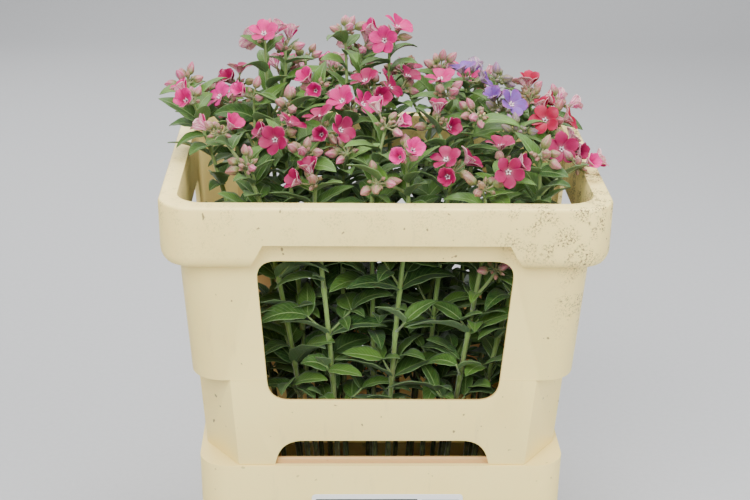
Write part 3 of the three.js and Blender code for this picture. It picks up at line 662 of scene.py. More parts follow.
class Arrangement:
    """Places every stalk, bloom, bud and leaf as the part's source does."""

    def __init__(self) -> None:
        """Settles the whole arrangement, in the order of the part's source."""
        self.plants = planting()
        self.random = RandomSource(SEED)
        self.crowd = Crowd()
        for index, plant in enumerate(self.plants):
            plant.index = index
        for step in (self.grow_stalks, self.set_blooms, self.set_buds, self.set_bracts, self.set_leaves):
            for plant in self.plants:
                step(plant)

    def placed(
        self, draw: Callable[[int], Shape], samples_of: Callable[[Shape], Array], owner: int, distance: float,
    ) -> Shape | None:
        """Draws a shape again until it is clear of the rest, and gives up after a set number of tries.

        Args:
            draw: makes a shape from the number of the attempt.
            samples_of: gives the points that stand for a shape.
            owner: the node that the shape belongs to.
            distance: how far it keeps from other nodes.

        Returns:
            The shape, or None.
        """
        for attempt in range(TRIES):
            shape = draw(attempt)
            samples = samples_of(shape)
            if inside_walls(samples).all() and self.crowd.clear(samples, owner, distance):
                self.crowd.add(samples, owner)
                return shape
        return None

    def grow_stalks(self, plant: Plant) -> None:
        """Settles a plant's stem and its stalks, which everything else keeps clear of.

        Args:
            plant: the plant.
        """
        between = self.random.between
        turn, foot_turn = between(0, 2 * math.pi), between(0, 2 * math.pi)
        plant.sway = STEM.sway * np.array([math.cos(turn), math.sin(turn)])
        plant.foot = STEM.foot_shift * np.array([math.cos(foot_turn), math.sin(foot_turn)])
        drawn = between(0, math.pi)
        if plant.heading is None:
            one, two = plant.rows[0], plant.rows[1] if len(plant.rows) > 1 else None
            plant.heading = math.atan2(two[1] - one[1], two[0] - one[0]) if two else drawn
        plant.stem_top = min(STEM.spread_height, min(row[2] for row in plant.rows) - 45)
        base = plant.stem_point(plant.stem_top) + np.array([0, 0, GAP])
        direction = unit(base - plant.stem_point(plant.stem_top - 20))
        for k, row in enumerate(plant.rows):
            head = np.array(row[:3], dtype=float)
            axis = unit(np.array([head[0] / 420, -0.45 if head[1] < 30 else 0.35, 1]))
            end = head - axis * FLOWER.knob_neck
            if k == 0:
                plant.stalks.append(Stalk(base, direction, end, head, axis, plant.heading))
                continue
            start = plant.stalks[0].point(FORKS[k - 1])
            flat = plant.heading + FORK_TURNS[k - 1]
            free = np.array([math.cos(flat), math.sin(flat), 0])
            out = free if free @ (head - start) >= 0 else -free
            across, _ = side_frame(unit(end - start))
            heading = math.atan2(across[1], across[0])
            plant.stalks.append(Stalk(start, unit(out * 0.9 + direction), end, head, axis, heading))
        heights = np.arange(WATER_LEVEL, plant.stem_top, 6)
        self.crowd.add(np.array([plant.stem_point(z) for z in heights]), plant.index)
        for stalk in plant.stalks:
            self.crowd.add(np.array([stalk.point(k / 24) for k in range(25)]), plant.spray)

    def facet_direction(self, stalk: Stalk, facet: int) -> Array:
        """The way from a head to one facet, with some play in it."""
        turn, lean = (self.random.between(-FACET_PLAY, FACET_PLAY) for _ in range(2))
        return stalk.facet(facet, math.radians(turn), lean)

    def free_facet(self, stalk: Stalk, count: int) -> int:
        """Draws one of the first so many facets that is still free."""
        free = [facet for facet in range(count) if facet not in stalk.taken]
        return free[int(len(free) * self.random.draw())]

    def draw_bloom(self, stalk: Stalk, half_open: bool) -> Bloom:
        """Draws a bloom on a stalk's head.

        Args:
            stalk: the stalk.
            half_open: whether it is a cup.

        Returns:
            The bloom.
        """
        between = self.random.between
        facet = self.free_facet(stalk, BLOOM_FACETS)
        direction = self.facet_direction(stalk, facet)
        facing = unit(direction + stalk.axis * 0.5)
        first, second = side_frame(facing)
        reach = FLOWER.pedicel * between(0.85, 1.3)
        turn = between(0, 1.25)
        cup = math.radians(between(50, 62) if half_open else between(14, 30))
        size = between(0.82, 0.95) if half_open else between(0.9, 1.05)
        centre = stalk.head + direction * reach
        return Bloom(facet, stalk.head, centre, facing, first, second, turn, cup, size, half_open)

    def draw_bud(self, stalk: Stalk) -> Bud:
        """Draws a bud on a stalk's head.

        Args:
            stalk: the stalk.

        Returns:
            The bud.
        """
        between = self.random.between
        facet = self.free_facet(stalk, FACETS)
        axis = self.facet_direction(stalk, facet)
        reach = between(6, 11)
        length = FLOWER.bud_length * between(0.75, 1.1)
        return Bud(facet, stalk.head, axis, reach, length, FLOWER.bud_radius * between(0.85, 1.1))

    def draw_blade(self, form: BladeForm, root: Array, heading: float, attempt: int) -> Blade:
        """Draws a leaf, a little smaller at each attempt.

        Args:
            form: its kind.
            root: where it grows.
            heading: the way that it points, roughly.
            attempt: how many draws came before.

        Returns:
            The leaf.
        """
        between = self.random.between
        eased = 1 - 0.018 * attempt
        return Blade(
            root=root,
            heading=heading + between(-0.35, 0.35),
            pitch=math.radians(form.pitch + between(-13, 13)),
            droop=math.radians(form.droop + between(-20, 20)),
            roll=math.radians(between(-22, 22)),
            length=form.length * between(0.82, 1.12) * eased,
            half_width=form.half_width * between(0.88, 1.1) * eased,
            fold=form.fold,
        )

    def set_blooms(self, plant: Plant) -> None:
        """Sets the blooms of every head of a plant.

        Args:
            plant: the plant.
        """
        for stalk, row in zip(plant.stalks, plant.rows):
            opened, half, _ = row[3].value
            for n in range(opened + half):
                bloom = self.placed(
                    lambda _, n=n: self.draw_bloom(stalk, n >= opened),
                    bloom_samples, plant.spray, CLEAR_BLOOM,
                )
                if bloom is not None:
                    stalk.taken.add(bloom.facet)
                    plant.blooms.append(bloom)

    def set_buds(self, plant: Plant) -> None:
        """Sets the buds of every head of a plant.

        Args:
            plant: the plant.
        """
        for stalk, row in zip(plant.stalks, plant.rows):
            for _ in range(row[3].value[2]):
                bud = self.placed(lambda _: self.draw_bud(stalk), bud_samples, plant.spray, CLEAR_BLOOM)
                if bud is not None:
                    stalk.taken.add(bud.facet)
                    plant.buds.append(bud)

    def set_bracts(self, plant: Plant) -> None:
        """Sets a plant's pairs of upper leaves, each a quarter turn from the one below.

        Args:
            plant: the plant.
        """
        for k, share in enumerate(BRACT_NODES):
            heading = plant.heading + k * math.pi / 2
            plant.bracts += self.leaf_pair(BRACT, plant.stalks[0].point(share), heading, plant.spray)

    def leaf_pair(self, form: BladeForm, root: Array, heading: float, owner: int) -> list[Blade]:
        """Two opposite leaves, or as many of them as find room.

        Args:
            form: their kind.
            root: where they grow.
            heading: of the first.
            owner: the node that they belong to.

        Returns:
            The leaves.
        """
        pair = [
            self.placed(
                lambda attempt, side=side: self.draw_blade(form, root, heading + side, attempt),
                blade_samples, owner, CLEAR_LEAF,
            )
            for side in (0.0, math.pi)
        ]
        return [blade for blade in pair if blade is not None]

    def set_leaves(self, plant: Plant) -> None:
        """Sets a stem's leaf pairs, each a quarter turn from the one above.

        Args:
            plant: the plant.
        """
        z = plant.stem_top - self.random.between(14, 40)
        turns = 1
        while z > STEM.lowest_node:
            plant.nodes.insert(0, z)
            heading = plant.heading + turns * math.pi / 2
            plant.leaves += self.leaf_pair(LEAF, plant.stem_point(z), heading, plant.index)
            z -= STEM.node_spacing
            turns += 1

    def small_leaf(
        self, form: BladeForm, root: Array, heading: float, owner: int, play: Random,
        lean: float = 0.0,
    ) -> Blade | None:
        """A small leaf that lies clear of the rest.

        Args:
            form: its kind.
            root: where it grows.
            heading: the way that it points, roughly.
            owner: the node that it belongs to.
            play: a seeded generator.
            lean: how far it turns about its own length, in radians.

        Returns:
            The leaf, or None where there is no room.
        """
        for attempt in range(SMALL_TRIES):
            eased = 1 - 0.07 * attempt
            blade = Blade(
                root=root,
                heading=heading + play.uniform(-0.5, 0.5),
                pitch=math.radians(form.pitch + play.uniform(-24, 20)),
                droop=math.radians(form.droop + play.uniform(-20, 26)),
                roll=lean + math.radians(play.uniform(-32, 32)),
                length=form.length * play.uniform(0.66, 1.1) * eased,
                half_width=form.half_width * play.uniform(0.8, 1.1) * eased,
                fold=form.fold,
            )
            samples = blade_samples(blade)
            if inside_walls(samples).all() and self.crowd.clear(samples, owner, CLEAR_SMALL):
                self.crowd.add(samples, owner)
                return blade
        return None

    def hang_over(self) -> None:
        """Adds the leaves that hang over the rim, their faces turned to the front."""
        play = np.random.default_rng(OVERHANG_SEED)
        for index, share, heading, length in OVERHANG:
            plant = self.plants[index]
            form = BladeForm(length, OVERHANG_SLENDER * length, 30, 44, BRACT.fold)
            root = plant.stalks[0].point(share)
            lean = OVERHANG_LEAN * math.cos(heading)
            blade = self.small_leaf(form, root, heading, plant.spray, play, lean)
            if blade is not None:
                plant.bracts.append(blade)


class Finish(Enum):
    """The materials of the plants, by the order in which a piece's faces use them."""

    STALK = 0
    LEAF = 1
    PETAL = 2
    CROWN = 3
    BUD = 4


@dataclass
class Patch:
    """A batch of vertices and quads of one finish, with a UV, a colour and a side for each vertex.

    side is 0 on the upper or inner face and 1 on the lower or outer one.
    """

    points: Array
    quads: Array
    uv: Array
    tint: Array
    side: Array
    finish: Finish


def tube_patch(rings: Array, uv: Array, tint: Array, side: Array | float, finish: Finish) -> Patch:
    """Joins rings of points into one closed skin.

    Args:
        rings: rows by columns by 3, each row running counter-clockwise seen from the last one.
        uv: rows by columns by 2.
        tint: rows by columns by 3, or one colour.
        side: rows by columns, or one number.
        finish: the material of its faces.

    Returns:
        The patch. Its ends are left open, so they are drawn in to a point or hidden.
    """
    rows, columns, _ = rings.shape
    index = np.arange(rows * columns).reshape(rows, columns)
    low, high = index[:-1], index[1:]
    quads = np.stack([low, np.roll(low, -1, 1), np.roll(high, -1, 1), high], axis=-1)
    shape = (rows, columns)
    return Patch(
        rings.reshape(-1, 3), quads.reshape(-1, 4), np.broadcast_to(uv, shape + (2,)).reshape(-1, 2),
        np.broadcast_to(tint, shape + (3,)).reshape(-1, 3), np.broadcast_to(side, shape).reshape(-1), finish,
    )


def tube(points: Array, radii: Array, sides: int, tint: Array, finish: Finish) -> Patch:
    """A round tube along points, with one radius at each, and its ends drawn in.

    Each ring is a circle square to the path. Its first direction is carried along, so the tube doesn't twist.

    Args:
        points: of its path.
        radii: one at each point.
        sides: of each ring.
        tint: one colour, or one at each point.
        finish: its material.

    Returns:
        A closed tube.
    """
    tangents = np.gradient(points, axis=0)
    tangents /= np.linalg.norm(tangents, axis=1)[:, None]
    first = side_frame(tangents[0])[0]
    rings = []
    for point, tangent, radius in zip(points, tangents, radii):
        first = unit(first - tangent * (first @ tangent))
        second = np.cross(tangent, first)
        angles = 2 * math.pi * np.arange(sides)[:, None] / sides
        rings.append(point + radius * (first * np.cos(angles) + second * np.sin(angles)))
    ends = [points[0] + 0 * rings[0], points[-1] + 0 * rings[-1]]
    rings = np.array([ends[0], *rings, ends[1]])
    along = np.linspace(0, 1, len(rings))[:, None]
    uv = np.stack(np.broadcast_arrays(np.arange(sides)[None] / sides, along), axis=-1)
    if np.ndim(tint) == 2:
        tint = np.concatenate([tint[:1], tint, tint[-1:]])[:, None]
    return tube_patch(rings, uv, tint, 0.0, finish)


def leaf_patch(blade: Blade, tint: Array, play: Random, rows: int = 17, across: int = 9) -> Patch:
    """A leaf of a blade's place and outline, with a grooved midrib and wavy margins.

    Across it, each half rises from the midrib with the fold, and waves grow with the square of the way out.
    The rib under it is a bell curve across, which fades towards the tip.

    Args:
        blade: the leaf's place and form.
        tint: its colour.
        play: a seeded generator for its waves.
        rows: how many sections it has along its length.
        across: how many points each face of a section has.

    Returns:
        A thin closed leaf.
    """
    share = np.linspace(0, 1, rows) ** 0.92
    middle, side, normal = blade.frame(share)
    width = np.maximum(blade.width(share), 0.75 * (1 - share) ** 2)[:, None]
    u = np.sin(np.linspace(math.pi / 2, -math.pi / 2, across))[None]
    phases = play.uniform(0, 2 * math.pi, 2)
    waves = play.uniform(2.2, 3.6, 2)
    left, right = (np.sin(2 * math.pi * wave * share[:, None] + phase) for wave, phase in zip(waves, phases))
    margin = np.where(u > 0, left, right)
    lift = blade.fold * width * (1.5 * np.abs(u) - 0.5 * u**2) + 0.055 * width * margin * u**2
    lift += 0.035 * blade.length * math.sin(phases[0]) * np.sin(math.pi * share[:, None])
    half = 0.32 - 0.12 * np.abs(u) + 0 * width
    rib = 0.75 * np.exp(-((u * width / 0.9) ** 2)) * (1 - 0.75 * share[:, None])

    def face(offset: Array) -> Array:
        """The points of one face, so far from the middle of the leaf's thickness."""
        spread = (u * width)[..., None] * side[:, None]
        return middle[:, None] + spread + (lift + offset)[..., None] * normal[:, None]

    rings = np.concatenate([face(half - 0.3 * rib), face(-half - rib)[:, ::-1]], axis=1)
    across_uv = np.concatenate([u, u[:, ::-1]], axis=1) * 0.5 + 0.5
    uv = np.stack(np.broadcast_arrays(across_uv, share[:, None]), axis=-1)
    sides = np.concatenate([np.zeros_like(u), np.ones_like(u)], axis=1)
    return tube_patch(rings, uv, tint, sides, Finish.LEAF)


def petal_patch(bloom: Bloom, petal: int, colour: Petal, play: Random) -> Patch:
    """One broad rounded petal, a little twisted, whose tip turns out.

    Its slope starts from the bloom's cup, is steeper at the throat and falls with the square of the way out.
    Its width grows evenly over the first six tenths and then rounds off.

    Args:
        bloom: the bloom that carries it.
        petal: its number, from 0.
        colour: the bloom's colour.
        play: a seeded generator for its form and shade.

    Returns:
        A thin closed petal.
    """
    rows, across = 10, 7
    share = np.linspace(0, 1, rows)
    reach = FLOWER.radius * bloom.size * play.uniform(1.04, 1.1)
    steep, flare = (0.30, 0.75) if bloom.half_open else (0.62, 0.42)
    slope = bloom.cup + steep * (1 - share) ** 2 - flare * share**2 + (0.12 if bloom.half_open else -0.03)
    step = reach / (rows - 1)
    out = 1.3 + np.concatenate([[0], np.cumsum(np.cos(slope[:-1]))]) * step * 0.94
    up = -1.9 + np.concatenate([[0], np.cumsum(np.sin(slope[:-1]))]) * step
    rounding = np.clip(1 - (np.clip(share - 0.46, 0, 1) / 0.54) ** 2.3, 0, 1) ** 0.6
    width = 6.5 * bloom.size * (0.26 + 0.74 * np.clip(share / 0.62, 0, 1) ** 1.1) * rounding
    width = np.maximum(width, 0.02)[:, None]
    u = np.sin(np.linspace(math.pi / 2, -math.pi / 2, across))[None]
    angle = bloom.turn + 2 * math.pi * petal / PETALS + play.uniform(-0.05, 0.05)
    radial = bloom.first * math.cos(angle) + bloom.second * math.sin(angle)
    side = bloom.second * math.cos(angle) - bloom.first * math.sin(angle)
    normal = bloom.axis * np.cos(slope)[:, None] - radial * np.sin(slope)[:, None]
    twist = play.uniform(0.14, 0.26)
    cupped = play.uniform(0.05, 0.16)
    wave = 0.35 * np.sin(5 * u + play.uniform(0, 6)) * share[:, None] ** 3
    lift = twist * u * width + cupped * width * u**2 + wave
    notch = 0.8 * (1 - np.abs(u)) ** 2 * share[:, None] ** 6
    spine = bloom.centre + out[:, None] * radial + up[:, None] * bloom.axis
    spread = (u * width)[..., None] * side - notch[..., None] * radial

    def face(offset: float) -> Array:
        """The points of one face, so far from the middle of the petal's thickness."""
        return spine[:, None] + spread + (lift + offset)[..., None] * normal[:, None]

    rings = np.concatenate([face(0.2), face(-0.2)[:, ::-1]], axis=1)
    uv = np.concatenate([u, u[:, ::-1]], axis=1) * 0.5 + 0.5
    uv = np.stack(np.broadcast_arrays(uv, share[:, None]), axis=-1)
    sides = np.concatenate([np.zeros_like(u), np.ones_like(u)], axis=1)
    front, back = (np.array(value) for value in colour.value)
    shade = play.uniform(0.86, 1.1)
    tint = np.where(sides[..., None] < 0.5, front * shade, back)
    pale = np.exp(-((share[:, None, None] / 0.22) ** 2)) * (sides[..., None] < 0.5) * 0.35
    tint = tint * (1 - pale) + np.array([0.80, 0.45, 0.52]) * pale
    return tube_patch(rings, uv, tint.clip(0, 1), sides, Finish.PETAL)


def crown_patches(bloom: Bloom) -> list[Patch]:
    """The pale five-lobed crown round a bloom's dark middle, and the short tube below it.

    Each lobe is a tube that leans out with the square of the way up.

    Args:
        bloom: the bloom.

    Returns:
        Its parts.
    """
    patches = []
    pale = np.array([0.83, 0.70, 0.73])
    base = bloom.centre - 1.2 * bloom.axis
    shares = np.linspace(0, 1, 5)[:, None]
    for lobe in range(PETALS):
        angle = bloom.turn + 2 * math.pi * (lobe + 0.5) / PETALS
        out = bloom.first * math.cos(angle) + bloom.second * math.sin(angle)
        leans = out * (1.35 + 1.15 * shares**2)
        points = base + leans + bloom.axis * 3.4 * shares
        radii = bloom.size * np.array([0.75, 0.95, 0.9, 0.65, 0.25])
        patches.append(tube(points, radii, 6, pale, Finish.CROWN))
    heights = np.array([-0.4, 1.0, 2.0, 2.5])
    column = np.array([base + bloom.axis * height for height in heights])
    tint = np.array([[0.55, 0.35, 0.40], [0.40, 0.12, 0.20], [0.10, 0.03, 0.05], [0.05, 0.02, 0.03]])
    patches.append(tube(column, np.array([1.3, 1.2, 1.0, 0.6]), 8, tint, Finish.CROWN))
    heights = np.linspace(-FLOWER.tube, -1.4, 4)
    throat = np.array([bloom.centre + bloom.axis * height for height in heights])
    straw = np.array([0.42, 0.40, 0.22])
    patches.append(tube(throat, np.array([1.0, 1.5, 1.8, 1.7]), 8, straw, Finish.CROWN))
    return patches


def sepal_patches(root: Array, axis: Array, turn: float, length: float, spread: float) -> list[Patch]:
    """Five narrow green sepals, each a spine that leans out, with a sine for its width.

    Args:
        root: where they meet.
        axis: the way that they point.
        turn: of the first about the axis.
        length: of each.
        spread: how far each leans out over its length, as a share of it.

    Returns:
        The sepals, as thin blades.
    """
    first, second = side_frame(axis)
    patches = []
    green, brown = np.array([0.09, 0.15, 0.035]), np.array([0.10, 0.03, 0.02])
    share = np.linspace(0, 1, 5)[:, None]
    for sepal in range(PETALS):
        angle = turn + 2 * math.pi * sepal / PETALS
        out = first * math.cos(angle) + second * math.sin(angle)
        side = second * math.cos(angle) - first * math.sin(angle)
        rise = length * share * (1 - 0.4 * spread * share)
        spine = root + out * (0.9 + length * spread * share) + axis * rise
        width = 0.17 * length * np.sin(math.pi * np.clip(0.22 + 0.78 * share, 0, 1)) + 0.03
        inner = -out * 0.22
        rings = np.stack([spine + side * width, spine + inner, spine - side * width, spine - inner], axis=1)
        tint = green * (1 - share[..., None] * 0.25) + share[..., None] * brown
        uv = np.stack(np.broadcast_arrays(np.array([[1, 0.5, 0, 0.5]]), share), axis=-1)
        patches.append(tube_patch(rings, uv, tint, 0.0, Finish.STALK))
    return patches


def bud_patches(bud: Bud, colour: Petal, play: Random) -> list[Patch]:
    """A bud: a twisted striped spindle in five sepals.

    Its radius is a sine of the way up on a fuller foot, and five cosine ridges twist round it.

    Args:
        bud: its place and form.
        colour: of the bloom that it would open to.
        play: a seeded generator for its twist and shade.

    Returns:
        The spindle and its sepals.
    """
    rows, columns = 9, 20
    share = np.linspace(0, 1, rows)
    belly = np.sin(math.pi * share**0.85).clip(0) ** 0.75 * 0.92
    radius = 1.14 * bud.radius * (0.42 * (1 - share) ** 2 + belly)
    radius = np.maximum(radius, 0.03)
    first, second = side_frame(bud.axis)
    turn = play.uniform(0, 1.25)
    twist = play.uniform(1.2, 2.2)
    angles = 2 * math.pi * np.arange(columns)[None] / columns
    ridge = np.cos(PETALS * angles - twist * PETALS * share[:, None] / 2 + turn)
    reach = radius[:, None] * (1 + 0.12 * ridge)
    root = bud.root + bud.axis * bud.stalk
    rings = (
        root + (bud.axis * (share * bud.length)[:, None])[:, None]
        + reach[..., None] * (first * np.cos(angles)[..., None] + second * np.sin(angles)[..., None])
    )
    young = np.array([0.21, 0.23, 0.06])
    pale = np.array([0.62, 0.32, 0.36])
    green = np.array([0.15, 0.20, 0.05])
    streak = np.array(colour.value[0]) * 0.8 + np.array([0.03, 0.0, 0.015])
    ripeness = play.uniform(0.15, 1.0) * (0.45 if bud.length < FLOWER.unripe else 1.0)
    stripe = ((ridge * 0.5 + 0.5) ** 1.7 * (0.35 + 0.65 * ripeness))[..., None]
    back = (np.array(colour.value[1]) * 0.55 + pale * 0.45) * ripeness + young * (1 - ripeness)
    back = back * play.uniform(0.8, 1.05)
    tint = back * (1 - stripe) + streak * stripe
    base = np.exp(-((share / 0.42) ** 2))[:, None, None]
    tint = tint * (1 - base) + green * base
    uv = np.stack(np.broadcast_arrays(angles / (2 * math.pi), share[:, None]), axis=-1)
    patches = [tube_patch(rings, uv, tint, 1.0, Finish.BUD)]
    patches += sepal_patches(root - 0.4 * bud.axis, bud.axis, turn, 0.68 * bud.length, 0.32)
    return patches


Finishes = dict[Finish, bpy.types.Material]


@dataclass
class Piece:
    """A visual piece under construction, in millimetres."""

    name: str
    slot: str
    replaces: tuple[str, ...]
    patches: list[Patch] = field(default_factory=list)

    def build(self, finishes: Finishes) -> bpy.types.Object:
        """Makes the piece's object.

        Args:
            finishes: the material of each finish.

        Returns:
            The object, which rides on the body and replaces its CAD nodes.
        """
        counts = np.cumsum([0] + [len(patch.points) for patch in self.patches])
        points = np.concatenate([patch.points for patch in self.patches]) * METRES
        quads = np.concatenate([patch.quads + start for patch, start in zip(self.patches, counts)])
        mesh = bpy.data.meshes.new(self.name)
        mesh.vertices.add(len(points))
        mesh.vertices.foreach_set("co", points.ravel())
        mesh.loops.add(quads.size)
        mesh.loops.foreach_set("vertex_index", quads.ravel().astype(np.int32))
        mesh.polygons.add(len(quads))
        mesh.polygons.foreach_set("loop_start", np.arange(0, quads.size, 4, dtype=np.int32))
        used = sorted({patch.finish for patch in self.patches}, key=lambda finish: finish.value)
        order = [used.index(patch.finish) for patch in self.patches]
        indices = np.repeat(order, [len(patch.quads) for patch in self.patches]).astype(np.int32)
        mesh.polygons.foreach_set("material_index", indices)
        mesh.update(calc_edges=True)
        layer = mesh.uv_layers.new(name="UVMap")
        uv = np.concatenate([patch.uv for patch in self.patches])
        layer.uv.foreach_set("vector", uv[quads.ravel()].ravel())
        colours = mesh.color_attributes.new("tint", "FLOAT_COLOR", "POINT")
        tint = np.concatenate([patch.tint for patch in self.patches])
        colours.data.foreach_set("color", np.hstack([tint, np.ones((len(tint), 1))]).ravel())
        sides = mesh.attributes.new("side", "FLOAT", "POINT")
        sides.data.foreach_set("value", np.concatenate([patch.side for patch in self.patches]))
        mesh.shade_smooth()
        mesh.validate()
        piece = bpy.data.objects.new(self.name, mesh)
        for finish in used:
            mesh.materials.append(finishes[finish])
        return adopt(piece, self.slot, *self.replaces)


def adopt(piece: bpy.types.Object, slot: str, *nodes: str) -> bpy.types.Object:
    """Links a piece, lets it ride on the body, and lets it stand for its CAD nodes.

    Args:
        piece: the object.
        slot: its material slot, which is not used.
        nodes: the CAD nodes.

    Returns:
        The object.
    """
    if piece.name not in bpy.context.scene.collection.objects:
        bpy.context.scene.collection.objects.link(piece)
    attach(piece, BODY)
    if nodes:
        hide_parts(*nodes)
    faces = len(piece.data.polygons)
    log.info("%s: %d faces, replaces %s", piece.name, faces, ", ".join(nodes) or "nothing")
    return piece


def leaf_tint(play: Random, youth: float) -> Array:
    """A leaf green, lighter and yellower with youth from 0 to 1.

    Args:
        play: a seeded generator.
        youth: how young it is.

    Returns:
        A linear colour.
    """
    dark = np.array([0.010, 0.038, 0.008])
    light = np.array([0.100, 0.205, 0.022])
    share = np.clip(youth + play.uniform(-0.1, 0.45), 0, 1)
    return dark + (light - dark) * share


@dataclass
class FinePart:
    """A fine part of one plant."""

    plant: Plant
    arrangement: Arrangement


@dataclass
class FineStem(FinePart):
    """The fine stem of one plant, with its leaves and side shoots."""

    def __post_init__(self) -> None:
        """Starts its piece and its random numbers."""
        self.play = np.random.default_rng(STEM_SEED + self.plant.index)
        node = self.plant.node("stem")
        self.piece = Piece(f"{node}_fine", "foliage", (node,))

    def build(self, finishes: Finishes) -> None:
        """Builds the stem with its swollen leaf nodes, its leaves and its shoots.

        Args:
            finishes: the materials.
        """
        plant = self.plant
        heights = [FOOT_LEVEL, *np.arange(20, plant.stem_top - 6, 16)]
        for node in plant.nodes:
            heights += [node - 5, node - 1.5, node + 1.5, node + 5]
        heights = np.array(sorted([z for z in heights if z < plant.stem_top - 1] + [plant.stem_top]))
        points = np.array([plant.stem_point(z) for z in heights])
        swell = sum(np.exp(-(((heights - node) / 4) ** 2)) for node in plant.nodes) + 0 * heights
        radii = np.array([plant.stem_radius(z) for z in heights]) * (0.92 + 0.28 * swell)
        # Painted shade: the stem is darker from 300 down to 190 mm, where the collar's walls keep the light
        # off it.
        shaded, lit = np.array([0.035, 0.04, 0.012]), np.array([0.14, 0.24, 0.05])
        share = np.clip((heights - 190) / 110, 0, 1)[:, None]
        self.piece.patches.append(tube(points, radii, 10, shaded + (lit - shaded) * share, Finish.STALK))
        for leaf in plant.leaves:
            self.piece.patches.append(leaf_patch(leaf, leaf_tint(self.play, 0.0), self.play))
        lower = plant.nodes[0] - STEM.node_spacing * 0.85
        for k, z in enumerate([*reversed(plant.nodes), lower]):
            self.side_shoots(z, plant.heading + (k + 1) * math.pi / 2)
        self.piece.build(finishes)

    def side_shoots(self, z: float, heading: float) -> None:
        """A thin leafy shoot in each axil of a leaf node, which bends up with the square of its way.

        Args:
            z: the height of the node.
            heading: of its leaves.
        """
        play, owner = self.play, self.plant.index
        root = self.plant.stem_point(z + 2)
        for side in (0.0, math.pi):
            way = heading + side + play.uniform(-0.5, 0.5)
            out = np.array([math.cos(way), math.sin(way), 0])
            reach = play.uniform(12, 34)
            direction = unit(out + np.array([0, 0, play.uniform(0.6, 1.6)]))
            tip = root + direction * reach + np.array([0, 0, 0.12 * reach])
            if not inside_walls(tip[None]).all():
                continue
            leaves = [
                self.arrangement.small_leaf(SHOOT, root + (tip - root) * share, way + turn, owner, play)
                for share, turn in SHOOT_LEAVES
            ]
            leaves = [leaf for leaf in leaves if leaf is not None]
            if not leaves:
                continue
            share = np.linspace(0, 1, 5)[:, None]
            points = root + direction * reach * share + np.array([0, 0, 0.12 * reach]) * share**2
            tint = np.array([0.12, 0.20, 0.05])
            self.piece.patches.append(tube(points, np.linspace(1.35, 0.8, 5), 6, tint, Finish.STALK))
            for leaf in leaves:
                self.piece.patches.append(leaf_patch(leaf, leaf_tint(play, 0.15), play, 11, 5))


